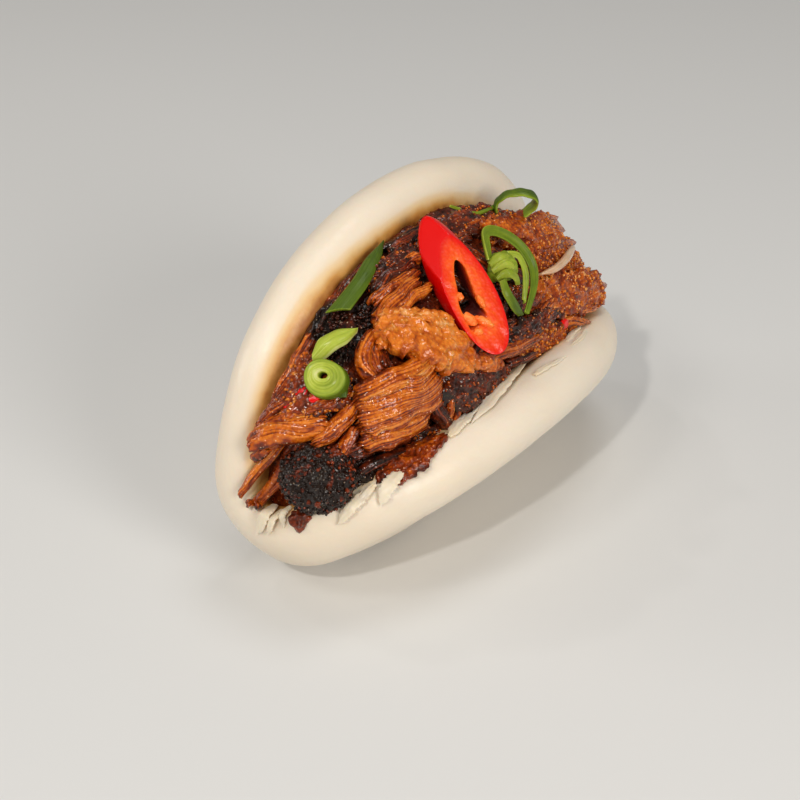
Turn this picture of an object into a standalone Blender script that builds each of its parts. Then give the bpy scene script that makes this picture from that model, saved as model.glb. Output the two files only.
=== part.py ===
"""Folded steamed bun with a pulled pork filling, chilli and spring onion, standing on its fold.

Metres, +Z up. +Y runs along the fold, the tall back wing is on the -X side and the low
front wing leans out to +X. The origin is on the small pressed flat under the fold.
"""

import math
import random

import bmesh
import bpy
from mathutils import Vector, noise

# The dough is a thick disc, bent over a fold into a tall wing and a low wing.
FOLD_HALF = 0.0535  # middle of the fold to the outside of its end
BACK_WING = 0.067  # middle of the fold to the lip, along the dough
FRONT_WING = 0.041
DOUGH_POWER = 2.15  # outline: 2 is an ellipse, more is squarer
LIP_HALF = 0.0064  # half the thickness at the lip
BODY_HALF = 0.0056  # half the thickness inside the lip
BACK_ANGLE = math.radians(91.5)  # of each wing above the table
FRONT_ANGLE = math.radians(47)
BACK_BEND = 0.0075  # bend radius in the middle of the dough
FRONT_BEND = 0.010
END_RISE = 0.013  # how far the ends of the fold curl up
RISE_POWER = 2.5
FRONT_SETTLE = 0.35  # how much less the front lip rises at its ends
SOLE_DEPTH = 0.002  # dough pressed flat where it rests
SOLE_RISE = BODY_HALF - SOLE_DEPTH

# The heap fills the fold up to a crown between the two lips.
HEAP_HALF = 0.053
HEAP_POWER = 2.3
LIP_MARGIN = 0.0068  # heap's edge to the dough's edge
CROWN_BULGE = 0.007
RIGHT_SLACK = 0.9  # how much flatter the crown gets towards its +Y end
CROWN_RELIEF = 0.0009
LEFT_HALF = 0.0485  # the filling stops short of the lip at its -Y end
BACK_TRIM = 0.64  # share of the crown that is bare behind the filling at its +Y end
BACK_TRIM_POWER = 1.5

GAP = 0.0003  # kept between pieces that touch
GROW = GAP * 1.6  # along a corner's normal, to leave the gap at its faces

FACING = Vector((0.49, -0.71, 0.50))  # towards the open front corner


# ---- the two curved surfaces ----


def fold(along, across, out):
    """Bend a point of the flat dough: along the fold, across it, and out of its filled face."""
    if across < 0:
        bend, angle = BACK_BEND, BACK_ANGLE
    else:
        bend, angle = FRONT_BEND, FRONT_ANGLE
    turn = min(abs(across) / bend, angle)
    straight = abs(across) - turn * bend
    x = bend * math.sin(turn) + straight * math.cos(turn) - out * math.sin(turn)
    z = bend * (1 - math.cos(turn)) + straight * math.sin(turn) + out * math.cos(turn)
    rise = END_RISE * abs(along / FOLD_HALF) ** RISE_POWER
    rise *= 1 - FRONT_SETTLE * max(across, 0) / FRONT_WING
    side = -1 if across < 0 else 1
    return Vector((side * x, along, z + rise + SOLE_RISE))


def disc(x, y):
    """Round a square grid from -1 to 1 into a disc."""
    return x * math.sqrt(1 - y * y / 2), y * math.sqrt(1 - x * x / 2)


def heap_reach(along, wing):
    """How far the heap goes from the fold towards a wing's lip."""
    share = min(abs(along) / HEAP_HALF, 0.999)
    return (wing - LIP_MARGIN) * (1 - share**HEAP_POWER) ** (1 / HEAP_POWER)


def crown(along, share, height=0.0):
    """A point over the heap: along the fold, from the back lip (0) to the front lip (1), and above it."""
    back = fold(along, -heap_reach(along, BACK_WING), BODY_HALF)
    front = fold(along, heap_reach(along, FRONT_WING), BODY_HALF)
    chord = front - back
    outward = Vector((-chord.z, 0, chord.x)).normalized()
    fullness = math.sqrt(max(0.0, 1 - abs(along / HEAP_HALF) ** 3))
    if along > 0:
        fullness *= 1 - RIGHT_SLACK * along / HEAP_HALF
    top = (back + front) / 2 + outward * 2 * CROWN_BULGE * fullness
    point = back * (1 - share) ** 2 + top * 2 * share * (1 - share) + front * share**2
    slope = (top - back) * (1 - share) + (front - top) * share
    normal = Vector((-slope.z, 0, slope.x)).normalized()
    return point + normal * height, normal


def filled_shares(along):
    """The crown's first and last share that the filling covers."""
    if along >= 0:
        return BACK_TRIM * (along / HEAP_HALF) ** BACK_TRIM_POWER, 1
    short = 1 - min(-along / LEFT_HALF, 1) ** HEAP_POWER
    full = 1 - min(-along / HEAP_HALF, 0.999) ** HEAP_POWER
    kept = (short / full) ** (1 / HEAP_POWER)
    return (1 - kept) / 2, (1 + kept) / 2


# ---- meshes ----


def material(name, colour, roughness):
    made = bpy.data.materials.new(name)
    made.use_nodes = True
    shader = made.node_tree.nodes["Principled BSDF"]
    shader.inputs["Base Color"].default_value = (*colour, 1)
    shader.inputs["Roughness"].default_value = roughness
    shader.inputs["Metallic"].default_value = 0
    return made


def finish(name, mesh, look):
    """Turn a bmesh into an object of the bun's collection."""
    bmesh.ops.recalc_face_normals(mesh, faces=mesh.faces)
    if mesh.calc_volume(signed=True) < 0:
        bmesh.ops.reverse_faces(mesh, faces=mesh.faces)
    data = bpy.data.meshes.new(name)
    mesh.to_mesh(data)
    mesh.free()
    data.shade_smooth()
    data.set_sharp_from_angle(angle=math.radians(50))
    data.materials.append(look)
    made = bpy.data.objects.new(name, data)
    parts.objects.link(made)
    return made


def moulded_box(cuts, place):
    """A closed box with a grid of cuts, each point moved by a function of its place from -1 to 1."""
    mesh = bmesh.new()
    bmesh.ops.create_cube(mesh, size=2)
    for axis, count in enumerate(cuts):
        edges = [edge for edge in mesh.edges if abs(edge.verts[0].co[axis] - edge.verts[1].co[axis]) > 1]
        if count:
            bmesh.ops.subdivide_edges(mesh, edges=edges, cuts=count, use_grid_fill=True)
    for vert in mesh.verts:
        vert.co = place(*vert.co)
    return mesh


def spline(points, share):
    """A point of a smooth curve through the given points, for a share from 0 to 1."""
    spans = len(points) - 1
    place = min(max(share, 0), 1) * spans
    index = min(int(place), spans - 1)
    t = place - index
    before = points[max(index - 1, 0)]
    start, end = points[index], points[index + 1]
    after = points[min(index + 2, spans)]
    bent = (end - before) * (t - 2 * t**2 + t**3) + (after - start) * (t**3 - t**2)
    return start * (1 - 3 * t**2 + 2 * t**3) + end * (3 * t**2 - 2 * t**3) + bent * 0.5


END_SWELL = 0.25  # how much a strip narrows at its ends
STEP = 0.02  # of a route, to find its direction
UNDER_RIDGE = 0.3  # ridges on a strip's underside over those on top
NEAR_END = 0.99  # of a strip's half length


def ribbon(stops, half_width, half_depth, **shape):
    """A strip over the heap through (along, share, height) stops."""
    return strip_along([crown(*stop) for stop in stops], half_width, half_depth, **shape)


def strip_along(
    route, half_width, half_depth, cuts=(6, 1, 0), taper=(1, 1), roll=0, ragged=0, seed=0, ridge=0
):
    """A strip through (point, normal) pairs, with its roll in degrees and torn ends if ragged."""
    points = [point for point, normal in route]
    normals = [normal for point, normal in route]
    draw = random.Random(seed)
    rows = cuts[1] + 1
    fray = {side: [draw.uniform(-ragged, ragged) for _ in range(rows + 1)] for side in (-1, 1)}
    turn = math.radians(roll)

    def place(x, y, z):
        share = (x + 1) / 2
        centre = spline(points, share)
        tangent = spline(points, min(share + STEP, 1)) - spline(points, max(share - STEP, 0))
        tangent.normalize()
        normal = spline(normals, share)
        normal = (normal - tangent * normal.dot(tangent)).normalized()
        side = normal.cross(tangent)
        wide = side * math.cos(turn) + normal * math.sin(turn)
        deep = normal * math.cos(turn) - side * math.sin(turn)
        fullness = taper[0] + (taper[1] - taper[0]) * share
        swell = 1 - END_SWELL * abs(x) ** 3
        wave = ridge * math.cos(y * math.pi * rows)
        if z <= 0:
            wave *= UNDER_RIDGE
        point = centre + wide * y * half_width * fullness * swell
        point += deep * z * (half_depth * swell + wave)
        if abs(x) > NEAR_END:
            point += tangent * fray[int(math.copysign(1, x))][round((y + 1) / 2 * rows)]
        return point

    return moulded_box(cuts, place)


def copy_grown(piece):
    """A cutter: the piece's mesh, grown so that what it cuts stays clear of the piece."""
    data = piece.data.copy()
    normals = [vert.normal.copy() for vert in data.vertices]
    for vert, normal in zip(data.vertices, normals):
        vert.co += normal * GROW
    cutter = bpy.data.objects.new("cutter", data)
    cutter.hide_render = True
    cutter.display_type = "WIRE"
    cutters.objects.link(cutter)
    return cutter


def boxes_meet(first, second):
    def ends(piece, axis):
        values = [vert.co[axis] for vert in piece.data.vertices]
        return min(values), max(values)

    for axis in range(3):
        low, high = ends(first, axis)
        other_low, other_high = ends(second, axis)
        if low > other_high + GAP or high < other_low - GAP:
            return False
    return True


def apply_boolean(piece, operation, solver, **target):
    step = piece.modifiers.new("step", "BOOLEAN")
    step.operation = operation
    step.solver = solver
    for key, value in target.items():
        setattr(step, key, value)
    shape = piece.evaluated_get(bpy.context.evaluated_depsgraph_get())
    data = bpy.data.meshes.new_from_object(shape)
    piece.modifiers.remove(step)
    piece.data = data


def keep_largest(piece):
    """Drop the scraps, flaps and sealed hollows that a cut leaves: a body's faces meet two at an edge."""
    mesh = bmesh.new()
    mesh.from_mesh(piece.data)
    bmesh.ops.triangulate(mesh, faces=mesh.faces)
    bodies, seen = [], set()
    for start in mesh.faces:
        if start in seen:
            continue
        body, front = [], [start]
        seen.add(start)
        while front:
            face = front.pop()
            body.append(face)
            sides = [edge.link_faces for edge in face.edges if len(edge.link_faces) == 2]
            for other in {linked for pair in sides for linked in pair} - seen:
                seen.add(other)
                front.append(other)
        bodies.append(body)
    bodies.sort(key=len)
    for body in bodies[:-1]:
        bmesh.ops.delete(mesh, geom=body, context="FACES")
    mesh.to_mesh(piece.data)
    mesh.free()


def clear_of(piece, others):
    """Cut a piece so that it keeps its gap to the pieces above it."""
    for other in others:
        if not boxes_meet(piece, other):
            continue
        cutter = copy_grown(other)
        apply_boolean(piece, "DIFFERENCE", "MANIFOLD", object=cutter)
        bpy.data.objects.remove(cutter)
    keep_largest(piece)


def fuse(piece, extras):
    """Join loose solids to a piece in one union."""
    group = bpy.data.collections.new("fused")
    bpy.context.scene.collection.children.link(group)
    for extra in extras:
        parts.objects.unlink(extra)
        group.objects.link(extra)
    apply_boolean(piece, "UNION", "MANIFOLD", operand_type="COLLECTION", collection=group)
    for extra in extras:
        bpy.data.objects.remove(extra)
    bpy.data.collections.remove(group)
    keep_largest(piece)


# ---- the bun ----

BUN_CUTS = (19, 19, 3)
GATHER = 1.5  # draws the grid's lines together at the fold
RIM = 0.9999  # share of the way to the lip from which a point is on it
FLAKE_DEPTH = 0.0008
FLAKE_TORN = (-7, 5)  # degrees that the torn edge wanders
FLAKE_CUTS = (5, 1, 0)
FLAKE_POINTED = 0.7
# Torn flaps of the bun's skin: start and end in degrees round the dough from the fold's +Y
# end, and low and high edges in degrees round the lip from its outermost line.
FLAKES = (
    (88, 110, 42, 76),
    (112, 121, 48, 78),
    (136, 154, 40, 70),
    (166, 178, 42, 74),
)


def outline(angle):
    """The dough's outline in a direction: shares along and across the fold, and the wing it is on."""
    cosine = math.cos(math.radians(angle))
    sine = math.sin(math.radians(angle))
    along = math.copysign(abs(cosine) ** (2 / DOUGH_POWER), cosine)
    across = math.copysign(abs(sine) ** (2 / DOUGH_POWER), sine)
    return along, across, BACK_WING if sine < 0 else FRONT_WING


def lip_point(angle, turn, out=0.0):
    """A point of the lip, by degrees round the dough from the fold's +Y end and degrees round the lip."""
    along, across, wing = outline(angle)
    round_lip = math.radians(turn)
    inset = LIP_HALF - (LIP_HALF + out) * math.cos(round_lip)
    height = (LIP_HALF + out) * math.sin(round_lip)
    return fold(along * (FOLD_HALF - inset), across * (wing - inset), height)


def make_bun():
    def place(x, y, z):
        along, across = disc(x, math.copysign(abs(y) ** GATHER, y))
        share = math.hypot(along, across)
        angle = math.degrees(math.atan2(across, along))
        if share > RIM:
            return lip_point(angle, 90 * z)
        out_along, out_across, wing = outline(angle)
        half = BODY_HALF + (LIP_HALF - BODY_HALF) * share**3
        inner_along = out_along * share * (FOLD_HALF - LIP_HALF)
        inner_across = out_across * share * (wing - LIP_HALF)
        return fold(inner_along, inner_across, z * half)

    mesh = moulded_box(BUN_CUTS, place)
    everything = mesh.verts[:] + mesh.edges[:] + mesh.faces[:]
    floor = {"plane_co": (0, 0, 0), "plane_no": (0, 0, -1), "clear_outer": True}
    cut = bmesh.ops.bisect_plane(mesh, geom=everything, **floor)
    rim = [item for item in cut["geom_cut"] if isinstance(item, bmesh.types.BMEdge)]
    bmesh.ops.edgenet_fill(mesh, edges=rim)
    bun = finish("bun", mesh, looks["dough"])
    fuse(bun, [make_flake(seed, *flake) for seed, flake in enumerate(FLAKES)])
    return bun


def make_flake(seed, start, end, low, high):
    """A flap that lies on the lip, with a torn edge towards the filling."""
    draw = random.Random(seed)
    columns = FLAKE_CUTS[0] + 1
    torn = [draw.uniform(*FLAKE_TORN) for _ in range(columns + 1)]

    def place(x, y, z):
        width = 1 - FLAKE_POINTED * abs(x) ** 3
        turn = (low + high) / 2 + y * (high - low) / 2 * width
        if y > 0:
            turn += torn[round((x + 1) / 2 * columns)]
        return lip_point(start + (end - start) * (x + 1) / 2, turn, FLAKE_DEPTH * z)

    return finish("flake", moulded_box(FLAKE_CUTS, place), looks["dough"])


# ---- chilli ----

CHILLI_CENTRE = (-0.0112, 0.42, 0.0056)  # along, share, height over the heap
CHILLI_LONG = Vector((0.62, -0.12, -0.77))  # down the slice
CHILLI_FACE = Vector((0.74, -0.38, 0.56))  # out of its cut face
CHILLI_HALF_LONG = 0.0138
CHILLI_HALF_WIDE = 0.0062
CHILLI_THICK = 0.0056
CHILLI_SLANT = 0.0030  # the back is shifted up and to the left, as the fruit was cut at a slant
CHILLI_EGG = 0.22  # how much broader it is at its low end
CHILLI_BACKWARD = Vector((0, -0.5, -0.8))  # the way that the back is shifted: out, wide, long
CAVITY_SIZE = (0.58, 0.30)  # share of the slice's length and width
CAVITY_REACH = 0.3  # past each face of the slice
CAVITY_WAVE = 0.14
CHILLI_SIDES = 30
CAVITY_SIDES = 16


def make_chilli_slice():
    centre = crown(*CHILLI_CENTRE)[0]
    long = CHILLI_LONG.normalized()
    face = (CHILLI_FACE - long * CHILLI_FACE.dot(long)).normalized()
    wide = face.cross(long)

    def placed(x, y, depth, size):
        """The slice's outline is an egg, broader at its low end."""
        egg = 1 + CHILLI_EGG * x
        backward = wide * CHILLI_BACKWARD.y + long * CHILLI_BACKWARD.z
        point = centre + long * x * CHILLI_HALF_LONG * size[0]
        point += wide * y * CHILLI_HALF_WIDE * size[1] * egg
        return point - face * depth * CHILLI_THICK + backward * depth * CHILLI_SLANT

    def disc_mesh(sides, size, near, far, wave=0.0):
        mesh = bmesh.new()
        bmesh.ops.create_cone(mesh, cap_ends=True, segments=sides, radius1=1, radius2=1, depth=1)
        for vert in mesh.verts:
            turn = math.atan2(vert.co.y, vert.co.x)
            reach = 1 + wave * math.cos(5 * turn + 1)
            depth = near if vert.co.z > 0 else far
            vert.co = placed(vert.co.x * reach, vert.co.y * reach, depth, size)
        return mesh

    chilli = finish("chilli_slice", disc_mesh(CHILLI_SIDES, (1, 1), 0, 1), looks["chilli"])
    cutter = disc_mesh(CAVITY_SIDES, CAVITY_SIZE, -CAVITY_REACH, 1 + CAVITY_REACH, CAVITY_WAVE)
    cavity = finish("cavity", cutter, looks["chilli"])
    apply_boolean(chilli, "DIFFERENCE", "EXACT", object=cavity)
    bpy.data.objects.remove(cavity)
    return chilli


CHILLI_BITS = (
    ((-0.0464, 0.16, 0.0012), (-0.0450, 0.24, 0.0012)),
    ((-0.0456, 0.28, 0.0012), (-0.0436, 0.38, 0.0012)),
    ((0.0190, 0.90, 0.0012), (0.0235, 0.92, 0.0012)),
)


CHILLI_BIT_HALF_WIDTH = 0.0013
CHILLI_BIT_HALF_DEPTH = 0.0009
CHILLI_BIT_RAGGED = 0.0004


def make_chilli_bits():
    made = []
    for index, stops in enumerate(CHILLI_BITS, start=1):
        shape = {"cuts": (2, 1, 0), "ragged": CHILLI_BIT_RAGGED, "seed": index}
        mesh = ribbon(stops, CHILLI_BIT_HALF_WIDTH, CHILLI_BIT_HALF_DEPTH, **shape)
        made.append(finish(f"chilli_bit_{index}", mesh, looks["chilli"]))
    return made


# ---- spring onion ----

RING_CENTRE = (-0.0433, 0.28, 0.0042)
RING_OUTER = 0.0036
RING_BORE = 0.0009
RING_HALF_HIGH = 0.0012
LOOP_CENTRE = (0.0165, 0.20, 0.0040)
LOOP_HALF_LONG = 0.0047
LOOP_HALF_WIDE = 0.0028
LOOP_WALL = 0.0004
LOOP_HALF_HIGH = 0.0009
LOOP_TILT = 12
LOOP_WOBBLE = 0.0006
# strips: stops over the heap, half width, half thickness, taper from start to end, roll in degrees
STRIPS = {
    "onion_strip": (
        ((-0.0152, 0.03, 0.003), (-0.0258, 0.09, 0.0026), (-0.0343, 0.13, 0.0024)),
        *(0.0021, 0.0005, (0.5, 1), 10),
    ),
    "onion_leaf": (
        ((-0.0342, 0.25, 0.0046), (-0.0380, 0.19, 0.0046), (-0.0410, 0.15, 0.0040)),
        *(0.0021, 0.0007, (0.5, 1), 0),
    ),
    "onion_tip": (
        ((-0.0402, 0.38, 0.0026), (-0.0425, 0.45, 0.0022)),
        *(0.0014, 0.0006, (0.9, 0.6), 0),
    ),
    "onion_thread": (
        ((0.0065, 0.03, 0.0012), (0.0105, 0.10, 0.0014), (0.0160, 0.12, 0.0014)),
        *(0.0006, 0.0004, (0.6, 1), 0),
    ),
    "onion_curl": (
        (
            (0.0020, 0.36, 0.0030),
            (0.0043, 0.27, 0.0036),
            (0.0090, 0.31, 0.0040),
            (0.0112, 0.48, 0.0036),
            (0.0080, 0.62, 0.0036),
            (0.0020, 0.72, 0.0030),
        ),
        *(0.0013, 0.0005, (0.9, 1), 25),
    ),
    "onion_sliver": (
        ((0.0150, 0.60, 0.0030), (0.0215, 0.61, 0.0040), (0.0275, 0.56, 0.0038)),
        *(0.0009, 0.0007, (0.6, 0.9), 0),
    ),
}
FOLDED_CENTRE = (0.0022, 0.46, 0.0040)
FOLDED_HALF = (0.0036, 0.0042, 0.0022)
FOLDED_TILT = -25
FOLDED_PLEAT = 0.10


def facing_axes(tilt=0.0):
    """Axes of a piece that faces the open front corner, turned in its own plane."""
    out = FACING.normalized()
    side = Vector((0, 0, 1)).cross(out).normalized()
    up = out.cross(side)
    turn = math.radians(tilt)
    level = side * math.cos(turn) + up * math.sin(turn)
    upright = up * math.cos(turn) - side * math.sin(turn)
    return level, upright, out


RING_SIDES = 20
PROFILE_REACH = 3  # from the axis to the middle of the square profile, whose half side is 1


def turned_ring(centre, half_long, half_wide, wall, half_high, tilt=0, wobble=0.0):
    """A band round an oval: a square profile spun about its axis, then stretched to the oval."""
    mesh = bmesh.new()
    bmesh.ops.create_grid(mesh, x_segments=1, y_segments=1, size=1)
    for vert in mesh.verts:
        vert.co = Vector((PROFILE_REACH + vert.co.x, 0, vert.co.y))
    profile = mesh.verts[:] + mesh.edges[:]
    bmesh.ops.delete(mesh, geom=mesh.faces[:], context="FACES_ONLY")
    whole = {"angle": 2 * math.pi, "steps": RING_SIDES, "use_merge": True}
    bmesh.ops.spin(mesh, geom=profile, cent=(0, 0, 0), axis=(0, 0, 1), **whole)
    long, wide, out = facing_axes(tilt)
    for vert in mesh.verts:
        turn = math.atan2(vert.co.y, vert.co.x)
        inward = PROFILE_REACH - math.hypot(vert.co.x, vert.co.y)
        reach_long = half_long - wall * (1 + inward)
        reach_wide = half_wide - wall * (1 + inward)
        lift = vert.co.z * half_high + wobble * math.sin(2 * turn)
        vert.co = centre + long * math.cos(turn) * reach_long
        vert.co += wide * math.sin(turn) * reach_wide + out * lift
    return mesh


def make_onion():
    made = []
    ring_wall = (RING_OUTER - RING_BORE) / 2
    ring = turned_ring(crown(*RING_CENTRE)[0], RING_OUTER, RING_OUTER, ring_wall, RING_HALF_HIGH)
    made.append(finish("onion_ring", ring, looks["onion"]))
    loop_size = (LOOP_HALF_LONG, LOOP_HALF_WIDE, LOOP_WALL, LOOP_HALF_HIGH, LOOP_TILT, LOOP_WOBBLE)
    loop = turned_ring(crown(*LOOP_CENTRE)[0], *loop_size)
    made.append(finish("onion_loop", loop, looks["onion"]))
    for name, (stops, half_width, half_depth, taper, roll) in STRIPS.items():
        shape = {"cuts": (4 + 2 * len(stops), 1, 0), "taper": taper, "roll": roll}
        look = looks["onion_pale"] if name == "onion_sliver" else looks["onion"]
        made.append(finish(name, ribbon(stops, half_width, half_depth, **shape), look))
    mesh = bmesh.new()
    bmesh.ops.create_uvsphere(mesh, u_segments=14, v_segments=8, radius=1)
    centre = crown(*FOLDED_CENTRE)[0]
    axes = facing_axes(FOLDED_TILT)
    for vert in mesh.verts:
        pleat = 1 + FOLDED_PLEAT * math.cos(4 * math.atan2(vert.co.y, vert.co.x))
        shares = zip(axes, vert.co, FOLDED_HALF)
        vert.co = centre + sum((axis * share * half * pleat for axis, share, half in shares), Vector())
    made.append(finish("onion_fold", mesh, looks["onion"]))
    return made


# ---- pork ----

# large pieces: stops over the heap, half width, half thickness, taper
CHUNKS = {
    "pork_chunk": (
        ((-0.0425, 0.64, 0.0022), (-0.0345, 0.72, 0.0034), (-0.0260, 0.80, 0.0018)),
        *(0.0072, 0.0030, (1, 0.85)),
    ),
    "pork_pale_chunk": (
        ((-0.0335, 0.36, 0.0028), (-0.0250, 0.45, 0.0040), (-0.0165, 0.60, 0.0020)),
        *(0.0056, 0.0028, (0.9, 1)),
    ),
    "pork_curl": (
        ((-0.0290, 0.36, 0.0016), (-0.0360, 0.38, 0.0020), (-0.0375, 0.50, 0.0018)),
        *(0.0040, 0.0022, (1, 0.8)),
    ),
    "pork_torn_chunk": (
        ((-0.0445, 0.60, 0.0016), (-0.0480, 0.34, 0.0024), (-0.0500, 0.06, 0.0020)),
        *(0.0036, 0.0018, (0.6, 1.1)),
    ),
}
CHUNK_CUTS = (5, 5, 1)
CHUNK_RAGGED = 0.0012
CHUNK_RIDGE = 0.0004
CHARRED_CENTRE = (-0.0472, 0.90, -0.0006)
CHARRED_HALF = (0.0078, 0.0070, 0.0072)
CHARRED_GRAIN = 0.0007
CHARRED_GRAIN_SCALE = 5
SHRED_ROWS = 6  # of shreds along the heap
SHRED_COLUMNS = 3  # across it
SHRED_SPREAD = 0.74  # share of the heap's length that they cover
SHRED_HALF_WIDTH = 0.0024
SHRED_HALF_DEPTH = 0.0014
SHRED_LENGTHS = (0.010, 0.018)
SHRED_SKEW = 0.16  # share of the crown that a shred crosses at most, each way
SHRED_RISE = (0.0006, 0.0016)
SHRED_END_RISE = 0.0007
SHRED_SHARES = (0.14, 0.90)
SHRED_ROLL = 25
SHRED_WIDTHS = (0.7, 1.2)
SHRED_DEPTHS = (0.8, 1.1)
SHRED_PLACE = (0.2, 0.8)  # in its share of the heap
SHRED_RAGGED = 0.0009
HEAP_CUTS = (13, 7, 0)
HEAP_SINK = 0.002  # the core reaches into the dough before it is cut to fit
# shreds that stick out at the ends of the heap
SPIKES = (
    ((0.030, 0.40, 0.0004), (0.038, 0.42, 0.0012), (0.044, 0.44, 0.0020)),
    ((0.032, 0.56, 0.0010), (0.040, 0.58, 0.0024), (0.047, 0.60, 0.0034)),
    ((0.034, 0.74, 0.0016), (0.043, 0.76, 0.0050), (0.0515, 0.74, 0.0080)),
    ((0.024, 0.92, 0.0006), (0.033, 0.94, 0.0026), (0.041, 0.98, 0.0036)),
    ((-0.044, 0.26, 0.0010), (-0.048, 0.12, 0.0016), (-0.0505, -0.06, 0.0024)),
)
SPIKE_SHAPE = {"cuts": (3, 1, 0), "taper": (1, 0.6), "ragged": 0.0010}
# thin strands that hang over the lip at the -Y end, from the heap to degrees round the dough and the lip
STRANDS = (
    ((-0.0470, 0.34, 0.0004), (194, 50), (187, 26)),
    ((-0.0472, 0.46, 0.0004), (189, 56), (184, 32)),
    ((-0.0474, 0.58, 0.0004), (184, 62), (181, 42)),
)
STRAND_HALF_WIDTH = 0.0010
STRAND_HALF_DEPTH = 0.0007
STRAND_LIFT = 0.0016  # middle of a strand over the dough
STRAND_SHAPE = {"cuts": (4, 0, 0), "taper": (1, 0.8), "ragged": 0.0006}
RELIEF_SCALE = Vector((6, 4, 0))


def make_charred():
    mesh = bmesh.new()
    bmesh.ops.create_icosphere(mesh, subdivisions=3, radius=1)
    centre = crown(*CHARRED_CENTRE)[0]
    for vert in mesh.verts:
        grain = CHARRED_GRAIN * noise.noise(vert.co * CHARRED_GRAIN_SCALE)
        vert.co = centre + Vector([vert.co[i] * (CHARRED_HALF[i] + grain) for i in range(3)])
    return finish("pork_charred_chunk", mesh, looks["pork_dark"])


def make_chunks():
    made = [make_charred()]
    shape = {"cuts": CHUNK_CUTS, "ragged": CHUNK_RAGGED, "ridge": CHUNK_RIDGE}
    for seed, (name, (stops, half_width, half_depth, taper)) in enumerate(CHUNKS.items()):
        mesh = ribbon(stops, half_width, half_depth, taper=taper, seed=seed, **shape)
        made.append(finish(name, mesh, looks["pork"]))
    return made


def make_core():
    def place(x, y, z):
        along, across = disc(x, y)
        rim = math.sqrt(max(1 - along * along, 1e-6))
        side = min(max(across / rim, -1), 1)
        reach = along * (LEFT_HALF if along < 0 else HEAP_HALF)
        first, last = filled_shares(reach)
        share = first + (last - first) * (side + 1) / 2
        if z > 0:
            spot = Vector((along * RELIEF_SCALE.x, side * RELIEF_SCALE.y, 1))
            return crown(reach, share, CROWN_RELIEF * noise.noise(spot))[0]
        spread = 2 * share - 1
        wing = BACK_WING if spread < 0 else FRONT_WING
        return fold(reach, spread * heap_reach(reach, wing), BODY_HALF - HEAP_SINK)

    return finish("pulled_pork", moulded_box(HEAP_CUTS, place), looks["pork"])


def make_shred(draw, row, column):
    along = HEAP_HALF * SHRED_SPREAD * (2 * (row + draw.uniform(*SHRED_PLACE)) / SHRED_ROWS - 1)
    share = (column + draw.uniform(*SHRED_PLACE)) / SHRED_COLUMNS
    half_length = draw.uniform(*SHRED_LENGTHS) / 2
    skew = draw.uniform(-SHRED_SKEW, SHRED_SKEW)
    stops = []
    for step in (-1, 0, 1):
        here = along + step * half_length
        low = max(SHRED_SHARES[0], filled_shares(here)[0] + SHRED_SHARES[0] / 2)
        height = SHRED_END_RISE if step else draw.uniform(*SHRED_RISE)
        stops.append((here, min(max(share + step * skew, low), SHRED_SHARES[1]), height))
    width = SHRED_HALF_WIDTH * draw.uniform(*SHRED_WIDTHS)
    depth = SHRED_HALF_DEPTH * draw.uniform(*SHRED_DEPTHS)
    shape = {"cuts": (2, 1, 0), "taper": (1, 0.8), "ragged": SHRED_RAGGED}
    roll = draw.uniform(-SHRED_ROLL, SHRED_ROLL)
    return ribbon(stops, width, depth, roll=roll, seed=row * SHRED_ROWS + column, **shape)


def make_heap():
    draw = random.Random(7)
    shreds = []
    for row in range(SHRED_ROWS):
        for column in range(SHRED_COLUMNS):
            shreds.append(make_shred(draw, row, column))
    for seed, stops in enumerate(SPIKES):
        shreds.append(ribbon(stops, SHRED_HALF_WIDTH, SHRED_HALF_DEPTH, seed=seed, **SPIKE_SHAPE))
    for seed, (start, *ends) in enumerate(STRANDS):
        route = [crown(*start)]
        for angle, turn in ends:
            point = lip_point(angle, turn, STRAND_LIFT)
            route.append((point, (point - lip_point(angle, turn, 0)).normalized()))
        shreds.append(strip_along(route, STRAND_HALF_WIDTH, STRAND_HALF_DEPTH, seed=seed, **STRAND_SHAPE))
    heap = make_core()
    fuse(heap, [finish("shred", mesh, looks["pork"]) for mesh in shreds])
    return heap


def main():
    above = [make_bun()]
    garnish = [make_chilli_slice(), *make_onion(), *make_chilli_bits()]
    for piece in [*garnish, *make_chunks(), make_heap()]:
        clear_of(piece, above)
        above.append(piece)


for old in list(bpy.data.objects):
    bpy.data.objects.remove(old)
parts = bpy.data.collections.new("bao bun")
cutters = bpy.data.collections.new("cutters")
bpy.context.scene.collection.children.link(parts)
bpy.context.scene.collection.children.link(cutters)
looks = {
    "dough": material("dough", (0.86, 0.77, 0.62), 0.5),
    "pork": material("pork", (0.24, 0.08, 0.03), 0.35),
    "pork_dark": material("pork_dark", (0.02, 0.01, 0.008), 0.3),
    "chilli": material("chilli", (0.75, 0.02, 0.01), 0.2),
    "onion": material("onion", (0.16, 0.40, 0.03), 0.35),
    "onion_pale": material("onion_pale", (0.62, 0.45, 0.28), 0.35),
}
main()
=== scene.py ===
import math
import random

import bmesh
import bpy
from mathutils import Matrix, Vector, noise


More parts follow.
